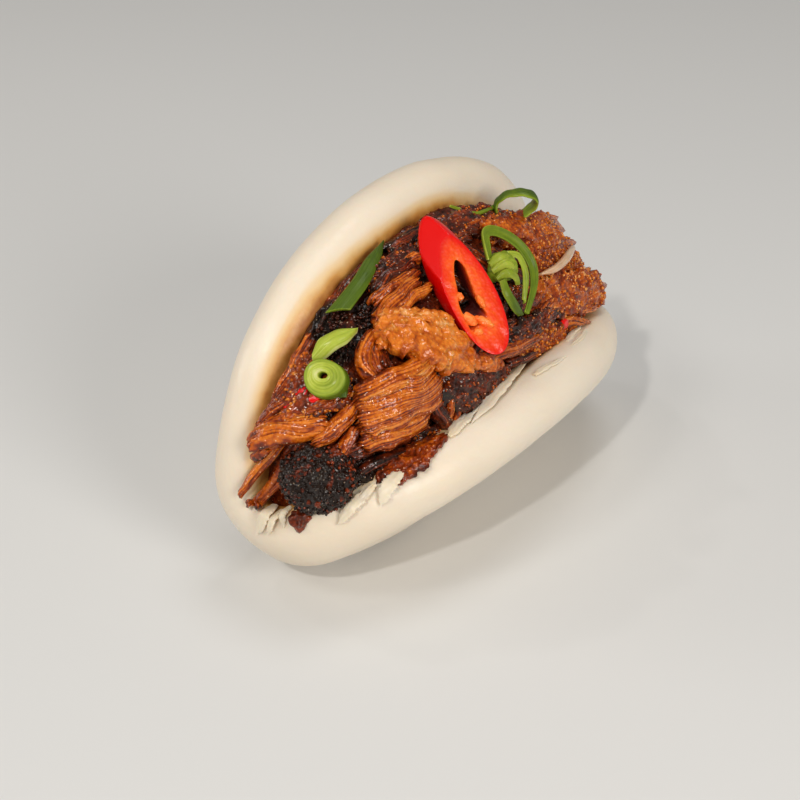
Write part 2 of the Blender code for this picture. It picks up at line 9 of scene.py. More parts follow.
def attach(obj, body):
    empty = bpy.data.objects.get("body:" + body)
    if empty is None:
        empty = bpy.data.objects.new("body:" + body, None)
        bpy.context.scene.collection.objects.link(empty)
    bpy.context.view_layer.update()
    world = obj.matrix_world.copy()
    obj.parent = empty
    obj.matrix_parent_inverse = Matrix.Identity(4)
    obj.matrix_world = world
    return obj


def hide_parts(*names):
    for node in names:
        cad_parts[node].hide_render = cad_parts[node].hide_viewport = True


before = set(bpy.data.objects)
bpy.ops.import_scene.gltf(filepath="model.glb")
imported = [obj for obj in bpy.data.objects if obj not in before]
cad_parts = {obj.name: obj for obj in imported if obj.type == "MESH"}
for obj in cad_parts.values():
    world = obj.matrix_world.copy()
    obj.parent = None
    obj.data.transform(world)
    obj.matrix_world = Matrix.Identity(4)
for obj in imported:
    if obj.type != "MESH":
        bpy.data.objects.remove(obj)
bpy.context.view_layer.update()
mm = 0.001

# the two curved surfaces that everything lies on: the dough and the crown of the heap

dough = {
    "foldHalf": 53.5 * mm,  # middle of the fold to the outside of its end
    "backWing": 67 * mm,  # middle of the fold to the lip, along the dough
    "frontWing": 41 * mm,
    "power": 2.15,  # outline: 2 is an ellipse, more is squarer
    "lipHalf": 6.4 * mm,
    "bodyHalf": 5.6 * mm,
    "backAngle": math.radians(91.5),
    "frontAngle": math.radians(47),
    "backBend": 7.5 * mm,
    "frontBend": 10 * mm,
    "endRise": 13 * mm,  # how far the ends of the fold curl up
    "risePower": 2.5,
    "frontSettle": 0.35,
    "soleRise": 3.6 * mm,
}

heapShape = {
    "half": 53 * mm,
    "power": 2.3,
    "lipMargin": 6.8 * mm,
    "bulge": 7 * mm,
    "rightSlack": 0.9,
    "leftHalf": 48.5 * mm,  # the filling stops short of the lip at its -Y end
    "backTrim": 0.64,  # share of the crown that is bare behind the filling at its +Y end
    "trimPower": 1.5,  # more keeps the bare part nearer the end
    "crownSpan": 42,  # mm across the crown, to compare shares with places along it
}


def signedPower(value, power):
    return math.copysign(abs(value) ** power, value)


# a point of the flat dough, bent: along the fold, across it, and out of its filled face
def foldPoint(along, across, out):
    back = across < 0
    bend = dough["backBend"] if back else dough["frontBend"]
    turn = min(abs(across) / bend, dough["backAngle"] if back else dough["frontAngle"])
    straight = abs(across) - turn * bend
    x = bend * math.sin(turn) + straight * math.cos(turn) - out * math.sin(turn)
    z = bend * (1 - math.cos(turn)) + straight * math.sin(turn) + out * math.cos(turn)
    rise = dough["endRise"] * abs(along / dough["foldHalf"]) ** dough["risePower"]
    rise *= 1 - dough["frontSettle"] * max(across, 0) / dough["frontWing"]
    return Vector((-x if back else x, along, z + rise + dough["soleRise"]))


# degrees round the dough from the +Y end of the fold: shares along and across it, and the wing's length
def outlineAt(angle):
    direction = math.radians(angle)
    wing = dough["backWing"] if math.sin(direction) < 0 else dough["frontWing"]
    cosine = signedPower(math.cos(direction), 2 / dough["power"])
    sine = signedPower(math.sin(direction), 2 / dough["power"])
    return cosine, sine, wing


# degrees round the dough, degrees round the lip from its outermost line, and out of the lip
def lipPoint(angle, turn, out=0.0):
    cosine, sine, wing = outlineAt(angle)
    roundLip = math.radians(turn)
    lip = dough["lipHalf"] + out
    inset = dough["lipHalf"] - lip * math.cos(roundLip)
    return foldPoint(cosine * (dough["foldHalf"] - inset), sine * (wing - inset), lip * math.sin(roundLip))


# how far the filling reaches along a wing, at a place of the fold
def heapReach(along, wing):
    share = min(abs(along) / heapShape["half"], 0.999)
    return (wing - heapShape["lipMargin"]) * (1 - share ** heapShape["power"]) ** (1 / heapShape["power"])


# over the heap: along the fold, from the back lip (0) to the front lip (1), and above it
def crownPoint(along, share, height=0.0):
    back = foldPoint(along, -heapReach(along, dough["backWing"]), dough["bodyHalf"])
    front = foldPoint(along, heapReach(along, dough["frontWing"]), dough["bodyHalf"])
    chord = front - back
    outward = Vector((-chord.z, 0, chord.x)).normalized()
    fullness = math.sqrt(max(0.0, 1 - abs(along / heapShape["half"]) ** 3))
    if along > 0:
        fullness *= 1 - heapShape["rightSlack"] * along / heapShape["half"]
    top = (back + front) / 2 + outward * 2 * heapShape["bulge"] * fullness
    point = back * (1 - share) ** 2 + top * 2 * share * (1 - share) + front * share**2
    slope = (top - back) * (1 - share) + (front - top) * share
    normal = Vector((-slope.z, 0, slope.x)).normalized()
    return point + normal * height, normal


# the crown's first and last share that the filling covers
def filledShares(along):
    if along >= 0:
        return heapShape["backTrim"] * (along / heapShape["half"]) ** heapShape["trimPower"], 1.0
    share = min(-along / heapShape["leftHalf"], 1)
    full = min(-along / heapShape["half"], 0.999)
    kept = ((1 - share ** heapShape["power"]) / (1 - full ** heapShape["power"])) ** (1 / heapShape["power"])
    return (1 - kept) / 2, (1 + kept) / 2


# stops over the heap: along in mm, share, and height in mm
def crownRoute(stops):
    return [crownPoint(along * mm, share, height * mm) for along, share, height in stops]


def crownSpot(stop):
    return crownRoute([stop])[0][0]


boxes = {}


# a closed box from -1 to 1 with a grid of cuts, made once for each grid
def gridBox(cuts):
    if cuts not in boxes:
        mesh = bmesh.new()
        bmesh.ops.create_cube(mesh, size=2)
        for axis, count in enumerate(cuts):
            edges = [edge for edge in mesh.edges if abs(edge.verts[0].co[axis] - edge.verts[1].co[axis]) > 1]
            if count:
                bmesh.ops.subdivide_edges(mesh, edges=edges, cuts=count, use_grid_fill=True)
        boxes[cuts] = mesh
    return boxes[cuts].copy()


def addLayers(mesh):
    layers = mesh.verts.layers
    # the second layer marks painted shade: grooves, cracks, undersides and the chilli's cavity painted darker
    return layers.float.new("tone"), layers.float.new("recessShade"), layers.float_vector.new("grain")


# extrudes a circle once for each stop, and gives the loops in order
def stackLoops(mesh, sides, count):
    turnLayer = mesh.verts.layers.float.new("turn")
    ring = bmesh.ops.create_circle(mesh, cap_ends=False, segments=sides, radius=1)["verts"]
    for vert in ring:
        vert[turnLayer] = math.atan2(vert.co.y, vert.co.x)
    loops = [ring]
    edges = mesh.edges[:]
    for _ in range(count - 1):
        grown = bmesh.ops.extrude_edge_only(mesh, edges=edges)["geom"]
        ring = [item for item in grown if isinstance(item, bmesh.types.BMVert)]
        members = set(ring)
        edges = [item for item in grown if isinstance(item, bmesh.types.BMEdge)]
        edges = [edge for edge in edges if members.issuperset(edge.verts)]
        loops.append(ring)
    return loops, turnLayer


# joins the last loop to the first one, round the back
def closeLoops(mesh, loops, turnLayer):
    edges = []
    for ring in (loops[0], loops[-1]):
        members = set(ring)
        edges += list({edge for vert in ring for edge in vert.link_edges if edge.other_vert(vert) in members})
    bmesh.ops.bridge_loops(mesh, edges=edges)
    mesh.verts.layers.float.remove(turnLayer)


# a smooth curve through points, from its first one (0) to its last (1)
def spline(points, share):
    spans = len(points) - 1
    place = min(max(share, 0), 1) * spans
    index = min(int(place), spans - 1)
    t = place - index
    before, after = points[max(index - 1, 0)], points[min(index + 2, spans)]
    start, end = points[index], points[index + 1]
    bent = (end - before) * (t - 2 * t**2 + t**3) + (after - start) * (t**3 - t**2)
    return start * (1 - 3 * t**2 + 2 * t**3) + end * (3 * t**2 - 2 * t**3) + bent * 0.5


def smoothStep(low, high, value):
    t = min(max((value - low) / (high - low), 0), 1)
    return t * t * (3 - 2 * t)


# along a route of (point, normal) pairs: the middle, forwards, sideways and outwards
def routeFrame(route, share, roll=0.0):
    points = [point for point, normal in route]
    centre = spline(points, share)
    tangent = (spline(points, min(share + 0.03, 1)) - spline(points, max(share - 0.03, 0))).normalized()
    normal = spline([normal for point, normal in route], share)
    normal = (normal - tangent * normal.dot(tangent)).normalized()
    side = normal.cross(tangent)
    wide = side * math.cos(roll) + normal * math.sin(roll)
    return centre, tangent, wide, normal * math.cos(roll) - side * math.sin(roll)


def routeLength(route):
    return sum((after[0] - before[0]).length for before, after in zip(route, route[1:]))


# over the lip: degrees round the dough, degrees round the lip, and mm above it
def lipRoute(stops):
    route = []
    for angle, turn, out in stops:
        point = lipPoint(angle, turn, out * mm)
        route.append((point, (point - lipPoint(angle, turn, (out - 1) * mm)).normalized()))
    return route


# a thin blade along a route, sizes in mm: cupped across, drawn in at its ends, cut at a slant at the far one
def addBlade(whole, route, width, depth, seed, tones, taper=(1, 1), roll=0, cup=0.2, points=(0, 0), slant=0.0,
             ragged=0.0, edge=0.16, cuts=(36, 12, 1)):
    draw = random.Random(seed)
    torn = [draw.uniform(-1, 1) for _ in range(cuts[0] + 2)]
    half = routeLength(route) / 2
    mesh = gridBox(cuts)
    toneLayer, _, grainLayer = addLayers(mesh)
    frames = {}
    for vert in mesh.verts:
        x, y, z = vert.co
        share = (x + 1) / 2
        key = round(share * (cuts[0] + 1))
        if key not in frames:
            frames[key] = routeFrame(route, share, math.radians(roll))
        centre, tangent, wide, deep = frames[key]
        size = taper[0] + (taper[1] - taper[0]) * share
        size *= 1 - points[0] * smoothStep(0.35, 0.0, share) ** 1.5
        size *= 1 - points[1] * smoothStep(0.65, 1.0, share) ** 1.5
        size *= 1 + ragged * torn[key] * abs(y)
        rounded = 0.35 + 0.65 * math.sqrt(max(0, 1 - y**4))
        bend = -cup * width * y * y + 0.12 * noise.noise(Vector((x * 2, y * 2, seed)))
        vert.co = centre + wide * y * width * size * mm + deep * (z * depth * rounded + bend) * mm
        vert.co += tangent * slant * y * mm * smoothStep(0.4, 1.0, share)
        pale = edge * smoothStep(0.75, 1.0, abs(y)) + 1.3 * edge * smoothStep(0.94, 1.0, abs(x))
        vert[toneLayer] = tones[0] + (tones[1] - tones[0]) * share - pale
        vert[grainLayer] = Vector((x * half, y * width * mm, seed * 0.4))
    gather(whole, mesh)


def meshData(name, mesh):
    data = bpy.data.meshes.new(name)
    mesh.to_mesh(data)
    mesh.free()
    return data


def addObject(name, data):
    made = bpy.data.objects.new(name, data)
    bpy.context.scene.collection.objects.link(made)
    return made


# adds one loose shape to a piece's mesh, its faces outwards
def gather(whole, mesh):
    if mesh.calc_volume(signed=True) < 0:
        bmesh.ops.reverse_faces(mesh, faces=mesh.faces)
    passing = meshData("passing", mesh)
    whole.from_mesh(passing)
    bpy.data.meshes.remove(passing)


def newWhole():
    whole = bmesh.new()
    addLayers(whole)
    return whole


# turns a mesh into a finished piece that stands for its solid
def makePiece(name, mesh, look, node, smoothing=0):
    data = meshData(name, mesh)
    data.shade_smooth()
    data.materials.append(look)
    piece = addObject(name, data)
    if smoothing:
        step = piece.modifiers.new("smoothing", "SUBSURF")
        step.levels = step.render_levels = smoothing
    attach(piece, "root")
    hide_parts(node)
    return piece


def newLook(name):
    look = bpy.data.materials.new(name)
    look.use_nodes = True
    return look, look.node_tree, look.node_tree.nodes["Principled BSDF"]


# a value that is a socket is linked, and any other is set
def setInputs(tree, node, values):
    for key, value in values.items():
        if isinstance(value, bpy.types.NodeSocket):
            tree.links.new(value, node.inputs[key])
        else:
            node.inputs[key].default_value = value


def addNode(tree, kind, inputs=None, **settings):
    made = tree.nodes.new(kind)
    for key, value in settings.items():
        setattr(made, key, value)
    setInputs(tree, made, inputs or {})
    return made


def place(tree):
    return addNode(tree, "ShaderNodeTexCoord").outputs["Object"]


def painted(tree, name):
    return addNode(tree, "ShaderNodeAttribute", attribute_name=name)


def maths(tree, operation, *values):
    return addNode(tree, "ShaderNodeMath", dict(enumerate(values)), operation=operation).outputs[0]


# adds patterns, each with its weight, to a value
def summed(tree, total, patterns):
    for pattern, weight in patterns:
        total = maths(tree, "MULTIPLY_ADD", pattern, weight, total)
    return total


def noisy(tree, vector, scale, detail=2.0, rough=0.5, distort=0.0):
    values = {"Vector": vector, "Scale": scale, "Detail": detail, "Roughness": rough, "Distortion": distort}
    return addNode(tree, "ShaderNodeTexNoise", values).outputs["Fac"]


def ramp(tree, value, stops):
    made = addNode(tree, "ShaderNodeValToRGB", {"Fac": value})
    points = made.color_ramp.elements
    while len(points) < len(stops):
        points.new(1.0)
    for point, (at, colour) in zip(points, stops):
        point.position = at
        point.color = (*colour, 1)
    return made.outputs["Color"]


# on a Mix node that mixes colours, they are inputs 6 and 7 and output 2
def mixed(tree, factor, *colours):
    first, second = [one if isinstance(one, bpy.types.NodeSocket) else (*one, 1) for one in colours]
    return addNode(tree, "ShaderNodeMix", {0: factor, 6: first, 7: second}, data_type="RGBA").outputs[2]


def spread(tree, value, low, high, start=0.0, end=1.0):
    values = {"Value": value, "From Min": start, "From Max": end, "To Min": low, "To Max": high}
    return addNode(tree, "ShaderNodeMapRange", values).outputs["Result"]


bumpDepth = 0.0003  # m, at a strength of 1


# heights, each with its strength, one over the other
def bumped(tree, shader, heights, socket="Normal"):
    normal = None
    for height, strength in heights:
        values = {"Height": height, "Strength": strength, "Distance": bumpDepth}
        if normal:
            values["Normal"] = normal
        normal = addNode(tree, "ShaderNodeBump", values).outputs["Normal"]
    tree.links.new(normal, shader.inputs[socket])


# fibres or veins that follow the piece's own grain
def drawnOut(tree, scale, *detail):
    grain = painted(tree, "grain").outputs["Vector"]
    drawn = addNode(tree, "ShaderNodeMapping", {"Vector": grain, "Scale": scale}).outputs[0]
    return noisy(tree, drawn, 1.0, *detail)


doughFinish = {
    "cream": (0.83, 0.73, 0.59),
    "warm": (0.80, 0.675, 0.51),
    "greaseAndShade": [
        (0.0, (0.83, 0.73, 0.59)),
        (0.5, (0.80, 0.56, 0.28)),
        (0.8, (0.66, 0.33, 0.08)),
        (1.0, (0.40, 0.14, 0.022)),  # beside the filling: the grease stain darkened further with painted shade
    ],
    "roughness": (0.36, 0.52),
    "seep": 0.5,  # how uneven the edge of the grease stain and its painted shade is
    "subsurface": 0.22,
    "subsurfaceRadius": (1.0, 0.55, 0.28),
    "subsurfaceScale": 3 * mm,
}


def makeDoughLook():
    look, tree, shader = newLook("steamed_dough")
    spot = place(tree)
    cloudy = noisy(tree, spot, 45, 3, 0.5)
    speckle = noisy(tree, spot, 700, 2, 0.6)
    # a grease stain near the filling, partly painted shade and painted orange bounce light from the meat
    greaseAndShade = painted(tree, "tone").outputs["Fac"]
    base = mixed(tree, spread(tree, cloudy, 0.0, 0.8, 0.35, 0.75), doughFinish["cream"], doughFinish["warm"])
    uneven = doughFinish["seep"]
    seep = maths(tree, "MULTIPLY_ADD", noisy(tree, spot, 260, 3, 0.55), uneven, -uneven / 2)
    stainAndShade = maths(tree, "MULTIPLY_ADD", seep, greaseAndShade, greaseAndShade)
    stainedAndShaded = ramp(tree, stainAndShade, doughFinish["greaseAndShade"])
    colour = mixed(tree, spread(tree, stainAndShade, 0.0, 1.0, 0.02, 0.30), base, stainedAndShaded)
    setInputs(tree, shader, {
        "Base Color": colour,
        "Roughness": spread(tree, speckle, *doughFinish["roughness"], 0.3, 0.7),
        "Subsurface Weight": doughFinish["subsurface"],
        "Subsurface Radius": doughFinish["subsurfaceRadius"],
        "Subsurface Scale": doughFinish["subsurfaceScale"],
        "Coat Weight": 0.12,
        "Coat Roughness": 0.3,
    })
    pores = noisy(tree, spot, 1400, 2, 0.55)
    bumped(tree, shader, [(pores, 0.16), (noisy(tree, spot, 160, 2), 0.28)])
    return look


porkFinish = {
    "stops": [
        (0.0, (0.84, 0.40, 0.15)),  # pale torn fibre
        (0.20, (0.78, 0.225, 0.020)),  # fat and pale glaze
        (0.40, (0.54, 0.110, 0.005)),
        (0.58, (0.25, 0.030, 0.003)),  # brown glaze
        (0.78, (0.075, 0.010, 0.003)),
        (1.0, (0.008, 0.003, 0.002)),  # char
    ],
    # colour of the painted glints: pale specks that stand for highlights on wet beads
    "paintedGlint": (1.0, 0.74, 0.50),
    "shine": (1.0, 0.62, 0.36),
    "roughness": (0.30, 0.60),
    "coatRoughness": 0.10,
    "glintSpeck": (0.9, 0.07, 0.22),  # how pale a painted glint is in its middle, and where it starts and ends to fade
    "glintSpecked": (0.55, 0.62),  # cells whose random value is past this have a painted glint
    "level": 0.66,  # what the patterns add on average
    # the last weight darkens grooves, cracks and undersides: painted shade
    "weights": {"fibre": 0.50, "mottle": 0.40, "patches": 0.30, "crumbs": 0.20, "recessShade": 0.36},
}


# shift makes it darker, crumbCount is to a metre, and the last argument is how pale the painted glints are:
# specks that stand for highlights
def makePorkLook(name, shift, subsurface, coat, crumbCount, paintedGlint):
    look, tree, shader = newLook(name)
    spot = place(tree)
    tone = painted(tree, "tone").outputs["Fac"]
    # painted shade in grooves, cracks and undersides
    recessShade = painted(tree, "recessShade").outputs["Fac"]
    fibre = drawnOut(tree, (260, 3400, 1), 3, 0.65, 0.4)
    mottle = noisy(tree, spot, 380, 4, 0.65)
    patches = noisy(tree, spot, 120, 2, 0.5)
    cells = addNode(tree, "ShaderNodeTexVoronoi", {"Vector": spot, "Scale": crumbCount})
    crumbs = cells.outputs["Distance"]
    domes = maths(tree, "SUBTRACT", 1.0, maths(tree, "MULTIPLY", crumbs, crumbs))
    patterns = zip((fibre, mottle, patches, crumbs, recessShade), porkFinish["weights"].values())
    total = summed(tree, maths(tree, "ADD", tone, shift - porkFinish["level"]), patterns)
    # painted highlights: pale specks in the middle of some cells, mixed into the colour
    pale, start, end = porkFinish["glintSpeck"]
    dots = spread(tree, crumbs, pale, 0.0, start, end)
    some = spread(tree, cells.outputs["Color"], 0.0, paintedGlint, *porkFinish["glintSpecked"])
    glintSpecks = maths(tree, "MULTIPLY", dots, some)
    setInputs(tree, shader, {
        "Base Color": mixed(tree, glintSpecks, ramp(tree, total, porkFinish["stops"]), porkFinish["paintedGlint"]),
        "Roughness": spread(tree, mottle, *porkFinish["roughness"], 0.3, 0.7),
        "Specular IOR Level": 0.1,
        "Specular Tint": (*porkFinish["shine"], 1),
        "Subsurface Weight": subsurface,
        "Subsurface Radius": (1.0, 0.35, 0.12),
        "Subsurface Scale": 1.2 * mm,
        "Coat Weight": coat,
        "Coat Roughness": porkFinish["coatRoughness"],
        "Coat IOR": 1.5,
    })
    bumped(tree, shader, [(fibre, 0.5), (domes, 0.8), (noisy(tree, spot, 3600, 2, 0.6), 0.3)])
    bumped(tree, shader, [(domes, 0.25), (mottle, 0.50)], "Coat Normal")
    return look


chilliFinish = {
    "stops": [
        (0.0, (0.74, 0.002, 0.001)),  # skin
        (0.08, (0.78, 0.004, 0.002)),
        (0.30, (0.76, 0.014, 0.002)),
        (0.62, (0.82, 0.052, 0.003)),
        (0.85, (0.92, 0.15, 0.012)),
        (1.0, (0.95, 0.27, 0.05)),  # pith
    ],
    # painted shade on the walls of the seed cavity
    "cavityShade": (0.05, 0.003, 0.002),
}


def makeChilliLook():
    look, tree, shader = newLook("red_chilli")
    spot = place(tree)
    flesh = painted(tree, "tone").outputs["Fac"]
    cavityShade = painted(tree, "recessShade").outputs["Fac"]
    cells = addNode(tree, "ShaderNodeTexVoronoi", {"Vector": spot, "Scale": 1500}).outputs["Distance"]
    mottle = noisy(tree, spot, 700, 3, 0.65)
    wet = maths(tree, "MULTIPLY", maths(tree, "MULTIPLY_ADD", mottle, 0.7, -0.35), flesh)
    colour = ramp(tree, maths(tree, "ADD", flesh, wet), chilliFinish["stops"])
    # the cavity's walls are painted near black: painted shade
    colour = mixed(tree, cavityShade, colour, chilliFinish["cavityShade"])
    setInputs(tree, shader, {
        "Base Color": colour,
        "Roughness": spread(tree, flesh, 0.20, 0.42, 0.0, 0.3),
        "Specular IOR Level": 0.25,
        "Subsurface Weight": 0.12,
        "Subsurface Radius": (1.0, 0.2, 0.08),
        "Subsurface Scale": 1.0 * mm,
        "Coat Weight": 0.15,
        "Coat Roughness": 0.05,
    })
    height = maths(tree, "MULTIPLY", cells, spread(tree, flesh, 0.0, 1.0, 0.05, 0.4))
    bumped(tree, shader, [(height, 0.35), (noisy(tree, spot, 180), 0.08)])
    return look


onionFinish = {
    "stops": [
        (0.0, (0.62, 0.64, 0.24)),  # cut, near white
        (0.22, (0.42, 0.49, 0.05)),
        (0.45, (0.20, 0.27, 0.014)),
        (0.68, (0.080, 0.135, 0.006)),
        (1.0, (0.022, 0.048, 0.005)),  # dark leaf
    ],
    "veins": 0.36,
    "mottle": 0.20,
    "level": 0.28,  # what the two patterns add on average
    "sliver": [(0.2, (0.80, 0.58, 0.38)), (0.6, (0.66, 0.40, 0.22)), (0.9, (0.50, 0.24, 0.10))],
}


def makeOnionLook():
    look, tree, shader = newLook("spring_onion")
    spot = place(tree)
    green = painted(tree, "tone").outputs["Fac"]
    veins = drawnOut(tree, (120, 3200, 1), 2, 0.5)
    mottle = noisy(tree, spot, 500, 3, 0.6)
    level = maths(tree, "ADD", green, -onionFinish["level"])
    total = summed(tree, level, ((veins, onionFinish["veins"]), (mottle, onionFinish["mottle"])))
    setInputs(tree, shader, {
        "Base Color": ramp(tree, total, onionFinish["stops"]),
        "Roughness": 0.42,
        "Specular IOR Level": 0.2,
        "Subsurface Weight": 0.12,
        "Subsurface Radius": (0.4, 1.0, 0.2),
        "Subsurface Scale": 0.8 * mm,
        "Coat Weight": 0.08,
        "Coat Roughness": 0.15,
    })
    bumped(tree, shader, [(veins, 0.35), (mottle, 0.15)])
    return look


def makeSliverLook():
    look, tree, shader = newLook("pale_onion")
    spot = place(tree)
    veins = drawnOut(tree, (250, 2500, 1), 2, 0.5)
    setInputs(tree, shader, {
        "Base Color": ramp(tree, veins, onionFinish["sliver"]),
        "Roughness": 0.28,
        "Subsurface Weight": 0.35,
        "Subsurface Radius": (1.0, 0.6, 0.35),
        "Subsurface Scale": 1.2 * mm,
        "Coat Weight": 0.6,
        "Coat Roughness": 0.1,
    })
    bumped(tree, shader, [(veins, 0.3), (noisy(tree, spot, 900), 0.2)])
    return look


looks = {
    "dough": makeDoughLook(),
    "pork": makePorkLook("glazed_pork", -0.03, 0.25, 0.7, 1450, 0.8),
    "pork_pale": makePorkLook("pale_pork", -0.08, 0.3, 0.7, 1300, 0.8),
    "pork_charred": makePorkLook("charred_pork", 0.02, 0.0, 0.6, 1500, 0.35),
    "chilli": makeChilliLook(),
    "onion": makeOnionLook(),
    "onion_pale": makeSliverLook(),
}
print("finishes made")

bunDetail = {
    "sides": 176,
    "faceLoops": 22,  # between the middle of the fold and the lip, on each face
    "lipLoops": 11,
    "gather": 1.25,  # draws the loops together at the fold
    "unevenness": 0.35 * mm,
    "stainAndShadeReach": 5.0 * mm,  # how far the grease stain, with painted shade and orange bounce light, reaches beyond the filling
    "bareDepth": 30 * mm,  # along the back wing, for a crown that is bare over all its width
    "stainAndShadeTurn": (10, 50),  # degrees round the lip over which the grease stain and painted shade set in
}


# degrees round the dough, share of the way to the lip, and -1 on its outer face or 1 on its filled one
def bunSurface(angle, share, face):
    cosine, sine, wing = outlineAt(angle)
    half = dough["bodyHalf"] + (dough["lipHalf"] - dough["bodyHalf"]) * share**3
    along = cosine * share * (dough["foldHalf"] - dough["lipHalf"])
    across = sine * share * (wing - dough["lipHalf"])
    return along, across, foldPoint(along, across, face * half)


# how soaked with sauce a place of the flat dough is, and how deep in the painted shade and bounce light by the
# filling: 1 under the filling, down to 0 some way beyond it
def soakedAndShaded(along, across):
    wing = dough["backWing"] if across < 0 else dough["frontWing"]
    reach = heapReach(along, wing)
    if across < 0 and along > 0:
        reach -= filledShares(along)[0] * bunDetail["bareDepth"]
    beyond = max(abs(across) - reach, -along - heapShape["leftHalf"])
    return 1 - smoothStep(0.0, bunDetail["stainAndShadeReach"], beyond)


def makeBun():
    faceLoops, lipLoops = bunDetail["faceLoops"], bunDetail["lipLoops"]
    shares = [((i + 1) / faceLoops) ** bunDetail["gather"] for i in range(faceLoops - 1)]
    # face, share of the way from the fold's middle to the lip, degrees round the lip
    stops = [(-1, share, None) for share in shares]
    stops += [(0, 1, -90 + 180 * i / lipLoops) for i in range(lipLoops + 1)]
    stops += [(1, share, None) for share in reversed(shares)]
    mesh = bmesh.new()
    toneLayer = addLayers(mesh)[0]
    loops, turnLayer = stackLoops(mesh, bunDetail["sides"], len(stops))
    for ring, (face, share, turn) in zip(loops, stops):
        for vert in ring:
            angle = math.degrees(vert[turnLayer])
            if turn is None:
                along, across, point = bunSurface(angle, share, face)
                vert[toneLayer] = soakedAndShaded(along, across) if face > 0 else 0
            else:
                point = lipPoint(angle, turn)
                along, across, _ = bunSurface(angle, 1, 1)
                inner = dough["lipHalf"] * (1 - math.cos(math.radians(turn)))
                flat = math.hypot(along, across)
                scale = max(0, (flat + dough["lipHalf"] - inner) / flat)
                within = smoothStep(*bunDetail["stainAndShadeTurn"], turn)
                vert[toneLayer] = soakedAndShaded(along * scale, across * scale) * within
            vert.co = point
    for ring in (loops[0], loops[-1]):
        bmesh.ops.contextual_create(mesh, geom=ring)
    bmesh.ops.recalc_face_normals(mesh, faces=mesh.faces)
    mesh.normal_update()
    for vert in mesh.verts:
        swell = noise.noise(vert.co * 55) + 0.5 * noise.noise(vert.co * 130)
        vert.co += vert.normal * bunDetail["unevenness"] * swell
        vert.co.z = max(vert.co.z, 0.0)
    mesh.verts.layers.float.remove(turnLayer)
    return mesh


flapDetail = {
    "halfDepth": 0.24,
    "roll": 5,  # degrees, one way and the other
    "tones": (0.26, 0.14),
    "ragged": 0.20,
}

# torn slivers of dough on the lip: stops round the dough and the lip, half width, tapers
flaps = [
    (((86, 72, 1.3), (94, 62, 1.2), (101, 50, 1.1), (111, 34, 0.5)), 1.35, (0.5, 0.9)),
    (((97, 66, 0.6), (103, 58, 0.9), (109, 48, 0.4)), 0.9, (0.4, 0.7)),
    (((90, 38, 0.2), (86, 34, 0.4), (80, 26, 0.2)), 0.6, (0.3, 0.9)),
    (((118, 34, 0.3), (114, 42, 0.7), (109, 48, 0.4)), 1.1, (0.6, 0.5)),
    (((116, 46, 0.3), (113, 52, 0.8), (110, 56, 0.4)), 0.8, (0.4, 0.4)),
    (((144, 12, 0.5), (150, 0, 1.1), (156, -14, 0.4)), 1.1, (0.3, 0.9)),
    (((141, 20, 0.4), (146, 6, 0.8), (151, -8, 0.3)), 0.7, (0.3, 0.9)),
    (((133, 22, 0.5), (138, 8, 1.2), (143, -10, 0.5)), 1.4, (0.3, 0.6)),
    (((176, 66, 0.6), (177, 32, 1.3), (180, -4, 0.4)), 1.2, (0.4, 0.9)),
    (((170, 52, 0.4), (174, 26, 1.1), (177, 4, 0.4)), 0.9, (0.4, 0.9)),
    (((166, 50, 0.4), (169, 34, 0.8), (171, 16, 0.3)), 0.7, (0.4, 0.9)),
    (((74, 36, -0.1), (68, 34, 0.14), (62, 38, -0.1)), 0.6, (0.6, 0.9)),
    (((72, 50, -0.1), (66, 54, 0.16), (60, 50, -0.1)), 0.8, (0.5, 0.9)),
]


def addFlaps(mesh):
    for seed, (stops, width, points) in enumerate(flaps):
        roll = flapDetail["roll"] if seed % 2 else -flapDetail["roll"]
        addBlade(mesh, lipRoute(stops), width, flapDetail["halfDepth"], seed, flapDetail["tones"], roll=roll,
                 cup=0.1, points=points, slant=0.5, ragged=flapDetail["ragged"], edge=0)


bunMesh = makeBun()
addFlaps(bunMesh)
makePiece("soft_bun", bunMesh, looks["dough"], "bun", smoothing=1)
print("bun made")

pork = {
    "fibreGap": 0.58 * mm,  # between the ridges of a torn piece
    "ridge": 0.36,  # height of a ridge over the gap between ridges
    "lump": 0.28 * mm,
}

# where it is charred: along in mm, share, radius in mm
charSpots = [
    (-41.5, 0.46, 3.4), (-28.5, 0.24, 3.2), (-34.3, 0.10, 3.4), (-26.5, 1.04, 2.8),
    (-43.0, 0.95, 3.6), (-38.5, 1.02, 2.6), (-10.5, 0.13, 2.6), (5.0, 0.78, 2.4), (-36.5, 0.24, 3.6),
]


# how charred a place of the heap is, from 0 to 1
def charAt(along, share):
    burnt = 0.0
    for spotAlong, spotShare, radius in charSpots:
        away = math.hypot(along / mm - spotAlong, (share - spotShare) * heapShape["crownSpan"])
        burnt = max(burnt, 1 - smoothStep(radius * 0.5, radius * 1.6, away))
    return burnt


